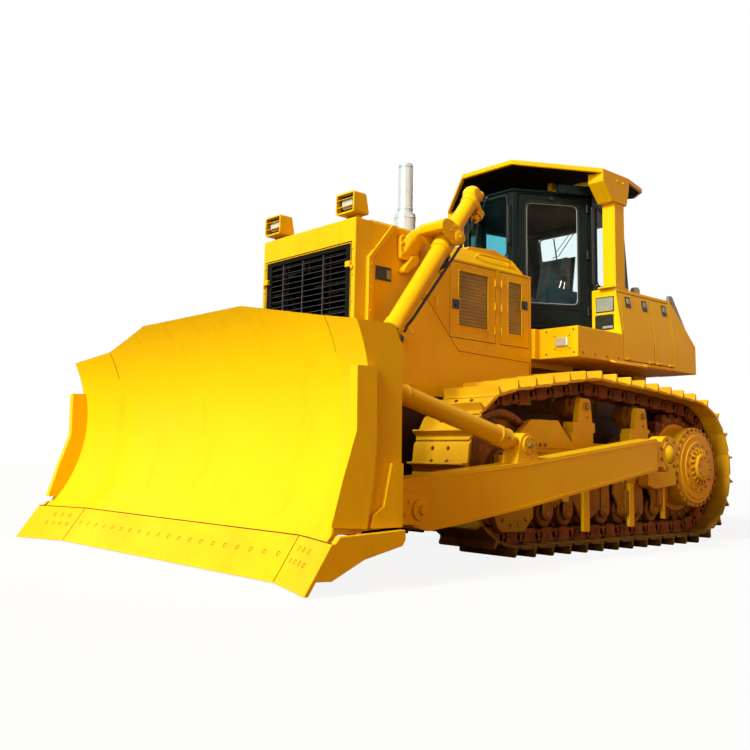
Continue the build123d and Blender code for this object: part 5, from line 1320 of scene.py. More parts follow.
@dataclass
class NoseGuard:
    """The guard round the radiator, its grille, trim and lamps."""

    front_x: float = 4.07
    rear_x: float = 3.88
    opening: tuple[float, float, float] = (0.6, 1.56, 2.55)
    lamp_y: Flat = (0.401, 0.641)
    lamp_z: Flat = (2.814, 2.994)

    def guard(self) -> None:
        """The guard's body with bolts along its trim and a frame round the grille."""
        body = Shape().copy_node("radiator_guard")
        # whole faces would be bridged by the rounding, so the face round the opening stays in triangles
        bmesh.ops.triangulate(body.mesh, faces=body.mesh.faces)
        body.place("nose_guard", PAINT, bevel=0.008, replaces=("radiator_guard",))
        bolts, rim = Shape(), Shape()
        half, low, high = self.opening
        for s in (-1, 1):
            bolts.side_bolts(s, 0.686, 0.009, *((self.rear_x + 0.03, z) for z in spread(1.02, 2.38, 8)))
            bolts.bolts([(self.front_x, s * 0.628, z) for z in spread(1.62, 2.5, 5)], (1, 0, 0), 0.008)
        for y in spread(-0.55, 0.55, 7):
            bolts.bolt((self.front_x, y, 1.52), (1, 0, 0), 0.008)
            bolts.bolt((self.front_x - 0.06, y, 2.764), (0, 0, 1), 0.008)
        y, x = half + 0.012, self.front_x - 0.004
        rim.hoop([(x, -y, low - 0.012), (x, y, low - 0.012), (x, y, high + 0.012), (x, -y, high + 0.012)],
                 0.008, 8)
        bolts.place("nose_bolts", PAINT)
        rim.place("grille_rim", GRILLE_BLACK)

    def grille(self) -> None:
        """Slats with a rounded nose, uprights and the fine core behind them."""
        soften("grille", "grille_slats", GRILLE_BLACK, 0.003)
        half, low, high = self.opening
        tall = (low + 0.002, high - 0.002)
        bars, core, door, knob = Shape(), Shape(), Shape(), Shape()
        slat = [(4.03, -0.001), (4.052, -0.004), (4.055, -0.002), (4.052, 0.002), (4.03, 0.002)]
        for z in spread(low + 0.025, high - 0.025, 20):
            bars.prism([(x, z + rise) for x, rise in slat], Plane.SIDE, -half + 0.06, half - 0.06)
        for y in (-0.366, -0.076, 0.214):
            bars.box((4.02, 4.053), (y - 0.005, y + 0.005), tall)
        for z in spread(low + 0.02, high - 0.02, 60):
            core.box((3.941, 3.95), (-half + 0.005, half - 0.005), (z - 0.002, z + 0.002))
        for y in (-half + 0.035, half - 0.035):
            door.box((4.0, 4.062), (y - 0.034, y + 0.034), tall)
        for z in (low + 0.02, high - 0.02):
            door.box((4.0, 4.06), (-half + 0.002, half - 0.002), (z - 0.018, z + 0.018))
        for s in (-1, 1):
            knob.box((4.062, 4.094), span(s, 0.555, 0.615), (2.345, 2.395))
            knob.turned([(0, 0.02), (0.02, 0.02), (0.026, 0.012)], (4.07, s * 0.615, 2.345), (0, s, -0.4), 14)
        # slat noses and uprights in the lighter painted highlight
        bars.place("grille_slat_noses", SLAT_HIGHLIGHT, bevel=0.001, segments=1)
        door.place("grille_door_frame", GRILLE_BLACK, bevel=0.004)
        knob.place("grille_latches", PAINT, bevel=0.006)
        core.place("radiator_core_fins", GRILLE_BLACK)

    def lamps(self) -> None:
        """Lamp housings with a visor, louvred lenses and brackets, and the lenses in the fenders."""
        housings, lenses, rims, well = Shape(), Shape(), Shape(), Shape()
        (z0, z1), seat = self.lamp_z, 2.764
        rear, front, face = self.rear_x, self.front_x, self.front_x + 0.01
        foot = rounded([(rear + 0.05, seat), (front - 0.05, seat), (front - 0.08, 2.82), (rear + 0.08, 2.82)],
                       0.01, 3)
        for s in (-1, 1):
            y0, y1 = span(s, *self.lamp_y)
            plan = oblong((y0, y1), (z0, z1), 0.022)
            inner = oblong((y0 + 0.014, y1 - 0.014), (z0 + 0.014, z1 - 0.014), 0.016)
            back = oblong((y0 + 0.03, y1 - 0.03), (z0 + 0.02, z1 - 0.03), 0.02)
            housings.loft([[Vector((rear + behind - 0.22 * (z1 - z), y, z)) for y, z in ring]
                           for behind, ring in ((0.05, back), (0.07, plan))]
                          + [[Vector((x, y, z)) for y, z in ring]
                             for x, ring in ((face, plan), (face, inner), (face - 0.05, inner))])
            glass = oblong((y0 + 0.045, y1 - 0.045), (z0 + 0.045, z1 - 0.04), 0.02)
            crown = shrunk(glass, ((y0 + y1) / 2, (z0 + z1) / 2), (0.9, 0.88))
            lenses.stack(Plane.FRONT, (face - 0.049, glass), (face - 0.036, glass), (face - 0.028, crown),
                         (face - 0.026, crown))
            well.prism(inner, Plane.FRONT, face - 0.0495, face - 0.0485)
            for z in (z0 + 0.066, z1 - 0.05):
                rims.prism([(face - 0.022, z - 0.001), (face - 0.004, z - 0.006), (face - 0.004, z - 0.001),
                            (face - 0.022, z + 0.004)], Plane.SIDE, y0 + 0.012, y1 - 0.012)
            middle = (y0 + y1) / 2
            for y in (middle - 0.07, middle + 0.058):
                housings.prism(foot, Plane.SIDE, y, y + 0.012)
            housings.box((rear + 0.05, front - 0.05), (middle - 0.07, middle + 0.07), (seat, seat + 0.008))
            spots = product((front - 0.07, rear + 0.09), (middle - 0.04, middle + 0.04), (seat + 0.008,))
            housings.bolts(list(spots), (0, 0, 1), 0.009)
        housings.place("nose_lamp_housings", PAINT, bevel=0.003, replaces=("headlamps",))
        well.place("nose_lamp_wells", BLACK)
        rims.place("nose_lamp_louvres", PAINT, bevel=0.0008, segments=1)
        for s in (-1, 1):
            plan = oblong(span(s, 0.9, 1.04), (1.89, 1.98), 0.018)
            small = shrunk(plan, (s * 0.97, 1.935), (0.82, 0.78))
            lenses.stack(Plane.FRONT, (1.68, plan), (1.695, plan), (1.7, small), (1.703, small))
        lenses.place("lamp_lens_glasses", LENS, bevel=0.001, replaces=("lamp_lenses",))

    def exhaust(self) -> None:
        """The exhaust pipe in its sleeve, with clamps and an open mouth."""
        pipe, dark = Shape(), Shape()
        x = EXHAUST_X
        pipe.turned([(0, 0.1015), (0.36, 0.1015), (0.372, 0.097), (0.38, 0.074), (0.384, 0.0715),
                     (0.86, 0.0715), (0.875, 0.0685), (0.88, 0.064), (0.86, 0.062), (0.4, 0.062)],
                    (x, 0, 2.78), (0, 0, 1), 48)
        for z, radius, height in ((2.83, 0.1015, 0.02), (3.1, 0.1015, 0.02), (3.19, 0.0715, 0.022)):
            pipe.ring((x, 0, z), (0, 0, 1), (radius - 0.002, radius + 0.004), (0, height), 48)
        dark.ring((x, 0, 3.618), (0, 0, 1), (0.069, 0.0728), (0, 0.004), 48)
        dark.ring((x, 0, 3.652), (0, 0, 1), (0.0625, 0.0655), (-0.03, 0.006), 48)
        for z, radius in ((2.84, 0.106), (3.11, 0.106), (3.2, 0.076)):
            pipe.bolt((x + 0.01, radius, z), (0, 1, 0), 0.008)
        pipe.place("exhaust_pipe", PIPE, bevel=0.002, replaces=("exhaust_stack",))
        dark.place("exhaust_bands", BLACK)

    def build(self) -> None:
        """Makes the nose."""
        self.guard()
        self.grille()
        self.lamps()
        self.exhaust()
        log.info("nose guard, grille, lamps and exhaust")


@dataclass
class Hood:
    """The hood's skin with its seams, handles and hinged engine panels."""

    half: float = 0.656
    panel_z: Flat = (1.886, 2.584)
    rear_panel: Flat = (1.796, 2.224)
    front_panel: Flat = (2.296, 2.924)

    def skin(self) -> None:
        """The skin with seams, bolts, handles and the caps on its top."""
        soften("hood", "hood_skin", PAINT, 0.008)
        seams, bolts, rails, black, pale, cap = (Shape() for _ in range(6))
        wall = self.half + 0.0005
        for s in (-1, 1):
            for path in ([(1.79, 1.745), (2.81, 1.765), (3.32, 2.29), (3.32, 2.6)],
                         [(1.79, 1.745), (1.79, 1.36)]):
                seams.tube([(x, s * wall, z) for x, z in path], 0.003, 6)
            bolts.side_bolts(s, wall, 0.009, (1.88, 1.79), (2.23, 1.79), (2.53, 1.8), (2.8, 1.83),
                             (3.05, 2.07), (3.2, 2.23), (3.4, 1.42), (3.1, 1.42), (2.7, 1.42), (2.2, 1.42))
            bolts.bolts([(x, s * 0.486, 2.78) for x in spread(1.95, 3.15, 5)], (0, 0, 1), 0.008)
            out = Vector((0, s * 0.749, 0.662)).normalized() * 0.045
            ends = [Vector((x, s * 0.58, 2.695)) for x in (2.02, 2.5)]
            rails.tube([ends[0], ends[0] + out, ends[1] + out, ends[1]], 0.0095, 12, 0.035)
            rails.tube(sided(s, (3.12, wall, 2.13), (3.12, wall + 0.03, 2.13), (3.12, wall + 0.03, 2.22),
                             (3.12, wall, 2.22)), 0.007, 10, 0.015)
            for end in ends:
                rails.turned([(0, 0.02), (0.004, 0.02)], end, out, 16)
            black.box((3.66, 3.84), span(s, self.half, self.half + 0.004), (2.27, 2.39))
            for width, high in ((0.034, 0.012), (0.022, 0.03)):
                black.boss([(0, width), (high, width), (high + 0.004, width - 0.006)], s, (3.543, wall, 1.8),
                           20)
            bolts.side_bolts(s, wall, 0.011, (3.486, 1.88), (3.39, 1.872))
            pale.box((3.668, 3.715), span(s, 0.659, 0.6615), (2.29, 2.365))
            for x, z in product((3.67, 3.83), (2.28, 2.38)):
                pale.dome((x, s * 0.66, z), (0, s, 0), 0.004, 0.003, 8)
        black.place("hood_plates", PLATE, bevel=0.001)
        pale.place("hood_plate_faces", PALE_PLATE)
        up = (0, 0, 1)
        cap.turned([(0, 0.07), (0.02, 0.07), (0.026, 0.06), (0.03, 0.02)], (3.62, 0.0, 2.778), up, 32)
        cap.turned([(0, 0.11), (0.006, 0.11)], (3.62, 0.0, 2.778), up, 32)
        cap.turned([(0, 0.06), (0.05, 0.06), (0.06, 0.05)], (2.15, 0.22, 2.845), up, 28)
        for y in (-0.3, 0.3):
            cap.tube([(3.4, y, 2.78), (3.4, y, 2.815), (3.55, y, 2.815), (3.55, y, 2.78)], 0.009, 10, 0.03)
        cap.place("hood_caps", PAINT, bevel=0.002)
        seams.place("hood_seams", CHAIN)
        bolts.place("hood_bolts", PAINT)
        rails.place("hood_handles", PAINT)

    def panel(self, place: str, x_range: Flat, body: Body) -> None:
        """One pair of engine panels with their screens, latches and hinges.

        Args:
            place: front or rear.
            x_range: where the panel starts and ends.
            body: the body of the left one.
        """
        z0, z1 = self.panel_z
        front = place == "front"
        wx, wz = (x_range[0] + 0.11, x_range[1] - 0.11), (z0 + 0.11, z1 - 0.07)
        latch_x, hinge_x = x_range[0] + 0.07, x_range[1] - 0.012
        if front:
            latch_x, hinge_x = x_range[1] - 0.07, x_range[0] + 0.012
        middle = (z0 + z1) / 2 + (-0.045 if front else 0.07)
        for side in Side:
            s, name, rides = side.sign, f"{place}_{side.value}", body.on(side)
            soften(f"engine_door_{name}", f"engine_panel_{name}", PAINT, 0.004, rides)
            sheet, rim, latch, hole = Shape(), Shape(), Shape(), Shape()
            level = self.half - 0.0115
            sheet.box((wx[0] + 0.004, wx[1] - 0.004), span(s, level, level + 0.003),
                      (wz[0] + 0.004, wz[1] - 0.004))
            for z in spread(wz[0] + 0.02, wz[1] - 0.02, 16):
                fold = [(s * (level + out), z + rise)
                        for out, rise in ((0.002, -0.008), (0.009, -0.002), (0.002, 0.006))]
                sheet.prism(fold, Plane.FRONT, wx[0] + 0.012, wx[1] - 0.012)
            rim.hoop([(x, s * (self.half - 0.001), z) for x, z in oblong(wx, wz, 0.012, 3)], 0.006, 8)
            rim.side_bolts(s, self.half, 0.008,
                           *product((wx[0] + 0.02, wx[1] - 0.02), (wz[0] - 0.035, wz[1] + 0.03)))
            for z in (z0 + 0.12, (z0 + z1) / 2, z1 - 0.12):
                rim.turned([(-0.035, 0.011), (0.035, 0.011)], (hinge_x, s * (self.half + 0.004), z),
                           (0, 0, 1), 14)
            rim.place(f"engine_panel_rim_{name}", PAINT, rides, bevel=0.001, segments=1)
            sheet.place(f"engine_panel_screen_{name}", SCREEN, rides)
            for made, wide, tall, radius, thick in ((latch, 0.058, 0.056, 0.014, 0.004),
                                                    (hole, 0.048, 0.045, 0.01, 0.006)):
                plan = oblong((latch_x - wide, latch_x + wide), (middle - tall, middle + tall), radius, 3)
                made.slab(plan, s, self.half, self.half + thick)
            hole.boss([(0, 0.012), (0.007, 0.012), (0.01, 0.008)], s,
                      (latch_x, self.half + 0.005, middle - 0.01), 16)
            latch.place(f"engine_latch_frame_{name}", PAINT, rides, bevel=0.001)
            hole.place(f"engine_latch_{name}", BLACK, rides, bevel=0.0015)

    def build(self) -> None:
        """Makes the hood."""
        self.skin()
        self.panel("rear", self.rear_panel, Body.PANEL_REAR)
        self.panel("front", self.front_panel, Body.PANEL_FRONT)
        log.info("hood and engine panels")


@dataclass(frozen=True)
class Wall:
    """One upright wall of the cab, from its two corners in plan."""

    start: Flat
    end: Flat

    @property
    def out(self) -> Vector:
        """The way that the wall's outer face looks."""
        way = (Vector(self.end) - Vector(self.start)).normalized()
        normal = Vector((-way.y, way.x, 0))
        middle = (Vector(self.start) + Vector(self.end)) / 2 - Vector((0.8, 0))
        return normal if normal.xy.dot(middle) > 0 else -normal

    def at(self, along: float, z: float, out: float = 0.0) -> Vector:
        """A point on the wall's outer face: along it, at a height, and out from it."""
        way = (Vector(self.end) - Vector(self.start)).normalized()
        return Vector((*(Vector(self.start) + way * along), z)) + self.out * out

    def outline(self, along: Flat, z: Flat, out: float, radius: float) -> list[Vector]:
        """A rectangle with rounded corners, drawn on the wall."""
        return [self.at(a, b, out) for a, b in oblong(along, z, radius, 5)]

    def mirrored(self) -> Wall:
        """The same wall on the other side."""
        return Wall((self.start[0], -self.start[1]), (self.end[0], -self.end[1]))


@dataclass
class Cab:
    """The six-sided cab: frame, doors, panes, seals, handles and wipers."""

    front: Wall = Wall((1.66, 0.34), (1.66, -0.34))
    door: Wall = Wall((1.66, 0.34), (0.9, 0.8))
    back_side: Wall = Wall((0.9, 0.8), (-0.06, 0.625))
    door_along: Flat = (0.068, 0.82)
    door_z: Flat = (2.158, 3.562)
    door_depth: float = 0.044
    window_along: Flat = (0.143, 0.73)
    window_z: Flat = (2.4, 3.49)
    side_along: Flat = (0.09, 0.746)
    side_z: Flat = (2.65, 3.5)
    rear_lean: float = 0.1707

    def behind(self, y: float, z: float, out: float) -> Vector:
        """A point on the rear window's sloping plane, or ahead of it."""
        return Vector((-0.04 + (z - 2.8) * self.rear_lean + out, y, z))

    def shell(self) -> None:
        """The cab's frame with a drip rail, seals, hinges and lamps."""
        soften("cab_shell", "cab_frame", CAB_TEAL, 0.012)
        seals, trims, black, lamps = Shape(), Shape(), Shape(), Shape()
        seals.hoop(self.front.outline((0.07, 0.61), (2.9, 3.56), 0.002, 0.05), 0.009, 10)
        for wall in (self.back_side, self.back_side.mirrored()):
            seals.hoop(wall.outline(self.side_along, self.side_z, 0.002, 0.06), 0.009, 10)
        seals.hoop([self.behind(y, z, -0.004) for y, z in oblong((-0.53, 0.53), (2.8, 3.5), 0.06, 5)], 0.009,
                   10)
        for wall in (self.door, self.door.mirrored()):
            for z in (2.35, 2.95, 3.45):
                trims.turned([(-0.045, 0.014), (0.045, 0.014)], wall.at(0.822, z, 0.012), (0, 0, 1), 14)
                trims.bolts([wall.at(0.85, z - 0.03), wall.at(0.85, z + 0.03)], wall.out, 0.007)
            rail = ((2.62, 0.0), (2.62, 0.05), (3.46, 0.05), (3.46, 0.0))
            trims.tube([wall.at(0.862, z, out) for z, out in rail], 0.0125, 12, 0.05)
            lamp = [wall.at(along, 3.575, out)
                    for along, out in ((0.48, 0.005), (0.84, 0.005), (0.84, 0.09), (0.48, 0.09))]
            black.loft([lamp, [point + Vector((0, 0, 0.095)) for point in lamp]])
            black.dome(wall.at(0.56, 3.6, 0.09), wall.out, 0.02, 0.012)
        for s in (-1, 1):
            trims.tube(sided(s, (1.662, 0.325, 3.02), (1.71, 0.325, 3.02), (1.71, 0.325, 3.42),
                             (1.662, 0.325, 3.42)), 0.011, 12, 0.04)
        eaves = [(1.665, -0.345), (1.665, 0.345), (0.9, 0.808), (0.1, 0.66), (0.1, -0.66), (0.9, -0.808)]
        black.hoop([(x, y, 3.6) for x, y in eaves], 0.013, 10)
        for y in (-0.42, 0.42):
            black.prism(oblong((y - 0.07, y + 0.07), (3.53, 3.6), 0.012, 3), Plane.FRONT, 0.03, 0.095)
            lamps.prism(oblong((y - 0.055, y + 0.055), (3.54, 3.59), 0.01, 3), Plane.FRONT, 0.024, 0.033)
        seals.place("cab_window_seals", RUBBER)
        trims.place("cab_handles_and_hinges", BLACK)
        black.place("cab_roof_trim", CAB_TEAL, bevel=0.004)
        lamps.place("rear_work_lamp_glasses", LENS)
        self.wipers()

    def wipers(self) -> None:
        """Wipers on the windshield and the rear window, and their hubs on the doors."""
        arms, rubbers = Shape(), Shape()
        front = (Vector((1.664, y, z)) for y, z in ((0, 3.575), (-0.12, 3.3), (-0.1, 3.42), (-0.16, 3.02)))
        rear = (self.behind(y, z, -0.017)
                for y, z in ((-0.02, 3.525), (-0.3, 3.27), (-0.337, 3.49), (-0.318, 3.07)))
        for (hub, elbow, *blade), out in ((front, Vector((1, 0, 0))), (rear, Vector((-1, 0, 0.17)))):
            lift = out.normalized() * 0.02
            arms.turned([(0, 0.02), (0.02, 0.018), (0.026, 0.008)], hub, out, 14)
            arms.tube([hub + lift, elbow + lift], 0.005, 8)
            arms.tube([point + lift for point in blade], 0.005, 8)
            rubbers.tube([point + lift * 0.55 for point in blade], 0.006, 6)
        for start, end, radius in (((-0.05, 3.54), (-0.335, 3.3), 0.004),
                                   ((-0.3, 3.27), (-0.37, 3.26), 0.006),
                                   ((-0.27, 3.075), (-0.38, 3.065), 0.006)):
            arms.tube([self.behind(*start, -0.017), self.behind(*end, -0.017)], radius, 8)
        for wall in (self.door, self.door.mirrored()):
            arms.turned([(0, 0.02), (0.02, 0.018)], wall.at(0.42, 3.53), wall.out, 14)
        arms.place("wiper_arms", BLACK)
        rubbers.place("wiper_rubbers", RUBBER)

    def doors(self) -> None:
        """Door leaves with a rounded window, seal, latch and handle, and their panes."""
        for side in Side:
            wall = self.door if side is Side.LEFT else self.door.mirrored()
            name, body = side.value, Body.DOOR.on(side)
            leaf, seal, handle, rim = Shape(), Shape(), Shape(), Shape()
            inner, outer = ([wall.outline(along, z, out, radius) for out in (-self.door_depth, 0.0)]
                            for along, z, radius in ((self.window_along, self.window_z, 0.07),
                                                     (self.door_along, self.door_z, 0.035)))
            leaf.loft([inner[0], outer[0], outer[1], inner[1], inner[0]], caps=False)
            bmesh.ops.remove_doubles(leaf.mesh, verts=leaf.mesh.verts, dist=1e-6)
            seal.hoop(wall.outline(self.window_along, self.window_z, -0.001, 0.07), 0.0085, 10)
            leaf.hoop([wall.at(a, z, 0.001) for a, z in oblong((0.1, 0.78), (2.2, 2.36), 0.03)], 0.005, 6)
            handle.loft([[wall.at(a, z, out) for a, z in oblong((0.082, 0.128), (2.56, 2.7), 0.012)]
                         for out in (0.0, 0.01)])
            grip = ((2.585, 0.008), (2.585, 0.04), (2.675, 0.04), (2.675, 0.008))
            handle.tube([wall.at(0.105, z, out) for z, out in grip], 0.008, 10, 0.015)
            handle.turned([(0, 0.012), (0.008, 0.012)], wall.at(0.105, 2.735), wall.out, 16)
            leaf.place(f"door_leaf_{name}", CAB_TEAL, body, bevel=0.003, replaces=(f"cab_door_{name}",))
            seal.place(f"door_seal_{name}", RUBBER, body)
            handle.place(f"door_handle_{name}", BLACK, body)
            (a0, a1), (z0, z1), inset = self.window_along, self.window_z, 0.016
            rim.hoop(wall.outline((a0 + inset, a1 - inset), (z0 + inset, z1 - inset), -0.006, 0.06), 0.0032,
                     6)
            rim.place(f"door_pane_bead_{name}", PIPE, body)
            dress(f"door_glass_{name}", GLASS)

    def panes(self) -> None:
        """The tinted windshield and the clear panes at the sides and rear."""
        front, clear = Shape(), Shape()
        front.prism(oblong((-0.268, 0.268), (2.902, 3.558), 0.05, 5), Plane.FRONT, 1.6345, 1.6405)
        (a0, a1), (z0, z1), gap = self.side_along, self.side_z, 0.002
        for wall in (self.back_side, self.back_side.mirrored()):
            clear.loft([wall.outline((a0 + gap, a1 - gap), (z0 + gap, z1 - gap), out, 0.06)
                        for out in (-0.0255, -0.0195)])
        ring = oblong((-0.528, 0.528), (2.802, 3.498), 0.06, 5)
        clear.loft([[self.behind(y, z, out) for y, z in ring] for out in (0.0195, 0.0255)])
        front.place("windshield_pane", TINTED, replaces=("cab_glass",))
        clear.place("side_and_rear_panes", GLASS)

    def build(self) -> None:
        """Makes the cab."""
        self.shell()
        self.doors()
        self.panes()
        log.info("cab, doors and panes")


@dataclass
class CabInside:
    """The driver's chair, consoles, levers and dashboard."""

    floor: float = 2.11
    squares: int = 10
    seam_at: float = 0.11
    seam_width: float = 0.011
    seam_depth: float = 0.009
    most_swelling: float = 0.012

    def cushion(self, name: str, corners: Sequence[Point], thick: float, up: Point) -> None:
        """A crowned, sewn cushion.

        Args:
            name: the piece's name.
            corners: four corners of its underside, in order.
            thick: its thickness.
            up: the way that it swells.
        """
        base = [Vector(corner) for corner in corners]
        rise = Vector(up).normalized() * thick
        made, count, grid = Shape(), self.squares, {}
        for layer, i, j in product((0, 1), range(count + 1), range(count + 1)):
            low, high = base[0].lerp(base[1], i / count), base[3].lerp(base[2], i / count)
            grid[layer, i, j] = made.mesh.verts.new(low.lerp(high, j / count) + rise * layer)
        for i, j, (layer, turn) in product(range(count), range(count), ((0, -1), (1, 1))):
            made.face([grid[layer, a, b]
                       for a, b in ((i, j), (i + 1, j), (i + 1, j + 1), (i, j + 1))][::turn])
        for k, (edge, turn) in product(range(count), ((0, 1), (count, -1))):
            ring = ((0, k), (0, k + 1), (1, k + 1), (1, k))
            made.face([grid[layer, at, edge] for layer, at in ring][::turn])
            made.face([grid[layer, edge, at] for layer, at in ring][::-turn])
        piece = made.place(name, CLOTH, smooth=80)
        self.inflate(piece, rise.normalized())

    def inflate(self, piece: bpy.types.Object, up: Vector) -> None:
        """Swells a cushion by cloth pressure, caps the swelling and sews its channels."""
        data = piece.data
        mesh = bmesh.new()
        mesh.from_mesh(data)
        bmesh.ops.subdivide_edges(mesh, edges=mesh.edges, cuts=2, use_grid_fill=True)
        mesh.to_mesh(data)
        mesh.free()
        start = [vert.co.copy() for vert in data.vertices]
        swollen = self.pressed(piece)
        middle = sum(start, Vector()) / len(start)
        across = Vector((0, 1, 0))
        deep = up.cross(across)
        for vert, rest, pressed in zip(data.vertices, start, swollen):
            move, spot = pressed - rest, rest - middle
            side, along = abs(spot.dot(across)), spot.dot(deep)
            groove = self.seam_depth * math.exp(-((side - self.seam_at) / self.seam_width) ** 2)
            if side < self.seam_at:
                groove += 0.006 * math.exp(-(along / self.seam_width) ** 2)
            sink = up * (groove if spot.dot(up) > 0 else 0)
            vert.co = rest + move.normalized() * min(move.length, self.most_swelling) - sink
        smoothing = piece.modifiers.new("smoothing", "SUBSURF")
        smoothing.levels = smoothing.render_levels = 1

    def chair(self) -> None:
        """The chair: base with bellows, cushions, armrests and a frame behind the back."""
        base, arms = Shape(), Shape()
        low = self.floor
        (x0, x1), half = (0.5, 0.9), 0.23
        for index in range(7):
            z, inset = low + 0.02 + index * 0.034, 0.0 if index % 2 else 0.02
            fold = oblong((x0 + inset, x1 - inset), (inset - half, half - inset), 0.03, 3)
            base.prism(fold, Plane.PLAN, z, z + 0.036)
        base.prism(oblong((x0, x1), (-half, half), 0.03, 3), Plane.PLAN, low + 0.001, low + 0.022)
        base.box((0.475, 0.985), (-0.245, 0.245), (low + 0.262, low + 0.309))
        rear = rounded([(0.47, 2.56), (0.5, 2.56), (0.405, 3.12), (0.385, 3.12)], 0.008, 3)
        base.prism(rear, Plane.SIDE, -0.22, 0.22)
        rest = rounded([(0.53, 2.6), (0.86, 2.63), (0.86, 2.68), (0.53, 2.66)], 0.02)
        for s in (-1, 1):
            arms.slab(rest, s, 0.205, 0.256)
        base.place("chair_base", RUBBER, bevel=0.004, replaces=("seat",))
        arms.place("chair_armrests", CLOTH, bevel=0.012, segments=3)
        z = low + 0.312
        self.cushion("chair_cushion", [(0.5, -0.235, z), (0.985, -0.235, z), (0.985, 0.235, z),
                                       (0.5, 0.235, z)], 0.105, (0, 0, 1))
        lean = Vector((-0.1, 0, 0.59)).normalized()
        foot = Vector((0.5, 0, low + 0.445))
        corners = [end + Vector((0, y, 0))
                   for end, y in ((foot, -0.22), (foot, 0.22), (foot + lean * 0.55, 0.19),
                                  (foot + lean * 0.55, -0.19))]
        self.cushion("chair_back", corners, 0.095, (lean.z, 0, -lean.x))

    def controls(self) -> None:
        """Consoles, dashboard with dials, levers with knobs, and pedals."""
        soften("cab_controls", "consoles_and_dashboard", TEAL, 0.014, segments=3)
        levers, knobs, dials = Shape(), Shape(), Shape()
        for s in (-1, 1):
            y = s * 0.36
            for x, lean, out, top in ((0.98, 0.03, 0, 2.83), (0.9, -0.02, 0.03, 2.76),
                                      (0.82, 0.0, 0.03, 2.76)):
                tip = (x + lean, y + s * out, top)
                levers.tube([(x, y, 2.64), tip], 0.006, 10)
                levers.turned([(0, 0.03), (0.008, 0.026), (0.02, 0.01)], (x, y, 2.642), (0, 0, 1), 16)
                knobs.turned([(-0.02, 0.012), (0.0, 0.02), (0.02, 0.022), (0.036, 0.014), (0.04, 0.004)], tip,
                             (lean, 0, 0.19), 16)
            for x in (0.58, 0.64, 0.7):
                knobs.turned([(0, 0.012), (0.008, 0.011)], (x, y + 0.02, 2.644), (0, 0, 1), 14)
        for y in spread(-0.18, 0.18, 5):
            for profile, steps in (([(-0.002, 0.034), (0.006, 0.034), (0.007, 0.029), (0.004, 0.028)], 24),
                                   ([(0.004, 0.004), (0.007, 0.003)], 10)):
                dials.turned(profile, (1.492, y, 2.76), (-0.995, 0, 0.095), steps)
        pedal = rounded([(1.3, 2.14), (1.42, 2.22), (1.41, 2.235), (1.29, 2.155)], 0.005, 2)
        for y in (-0.14, 0.0, 0.14):
            knobs.prism(pedal, Plane.SIDE, y - 0.04, y + 0.04)
        levers.place("control_levers", CHROME)
        knobs.place("lever_knobs", RUBBER)
        dials.place("dashboard_dials", PALE_PLATE)

    def build(self) -> None:
        """Makes the inside of the cab."""
        self.chair()
        self.controls()
        log.info("chair and controls")

    def pressed(self, piece: bpy.types.Object) -> list[Vector]:
        """Where a cushion's points lie once cloth pressure has swollen it."""
        cloth = piece.modifiers.new("pressure", "CLOTH")
        cloth.settings.quality = 6
        cloth.settings.use_pressure = True
        cloth.settings.uniform_pressure_force = 4
        cloth.settings.effector_weights.gravity = 0
        cloth.settings.tension_stiffness = 12
        cloth.settings.compression_stiffness = 12
        cloth.point_cache.frame_end = 20
        scene = bpy.context.scene
        for number in range(1, 16):
            scene.frame_set(number)
        graph = bpy.context.evaluated_depsgraph_get()
        swollen = [vert.co.copy() for vert in piece.evaluated_get(graph).data.vertices]
        piece.modifiers.remove(cloth)
        scene.frame_set(1)
        return swollen


@dataclass
class RollFrame:
    """The roof on its two posts."""

    post_x: Flat = (0.73, 0.91)
    post_y: Flat = (0.925, 1.075)
    under: float = 3.87
    fall: float = 0.184

    def build(self) -> None:
        """Makes the roof frame with its post ribs, bolts and welds."""
        soften("rops", "roof_frame", PAINT, 0.009)
        ribs, bolts, beads, knobs = Shape(), Shape(), Shape(), Shape()
        (x0, x1), foot = self.post_x, 2.586
        knob_z = 3.92 - 0.137 * 0.2753
        for s in (-1, 1):
            outline = [(s * 1.074, 3.46), (s * 1.088, 3.5), (s * 1.088, 3.62), (s * 1.074, 3.65)]
            for x in (0.79, 0.85):
                ribs.prism(outline, Plane.FRONT, x - 0.006, x + 0.006)
            bolts.bolts([(x, s, 3.655) for x in (0.665, 0.975, 1.08)], (0, 0, -1), 0.014)
            bolts.side_bolts(s, 1.089, 0.013, (0.76, 3.7), (0.88, 3.7))
            ribs.prism(oblong((0.66, 0.98), span(s, 0.9, 1.08), 0.02, 3), Plane.PLAN, 2.569, 2.583)
            bolts.bolts([(x, s * y, 2.583) for x, y in product((0.69, 0.95), (0.925, 1.055))], (0, 0, 1),
                        0.011)
            y0, y1 = (s * value for value in self.post_y)
            beads.bead([(x0, y0, foot), (x1, y0, foot), (x1, y1, foot), (x0, y1, foot), (x0, y0, foot)],
                       0.006)
            beads.bead([(x0 - 0.02, y1, 3.472), (x1 + 0.02, y1, 3.472)], 0.006)
            knobs.tube([(1.0, s * 0.55, knob_z), (1.0, s * 0.55, 3.902)], 0.02, 10)
        self.roof_shade_sheet()
        ribs.place("post_ribs", PAINT, bevel=0.003)
        bolts.place("post_bolts", PAINT)
        knobs.place("roof_knobs", BLACK)
        beads.place("post_welds", PAINT)
        log.info("roll-over frame")

    def roof_shade_sheet(self) -> None:
        """A thin sheet of painted shade under the roof's flat middle and its two sloping sides."""
        made = Shape()
        edge = [(1.66, 0.33), (1.105, 1.06), (0.665, 1.06), (0.2, 0.93), (-0.06, 0.68), (-0.06, 0.33)]
        flat = [(1.66, 0.36), (1.66, -0.36), (-0.06, -0.36), (-0.06, 0.36)]
        for plan in (flat, edge, [(x, -y) for x, y in edge]):
            made.loft([[Vector((x, y, self.under - max(abs(y) - 0.345, 0) * self.fall - drop))
                        for x, y in plan] for drop in (0.007, 0.002)])
        made.place("roof_underside_shade_sheet", SHADE)


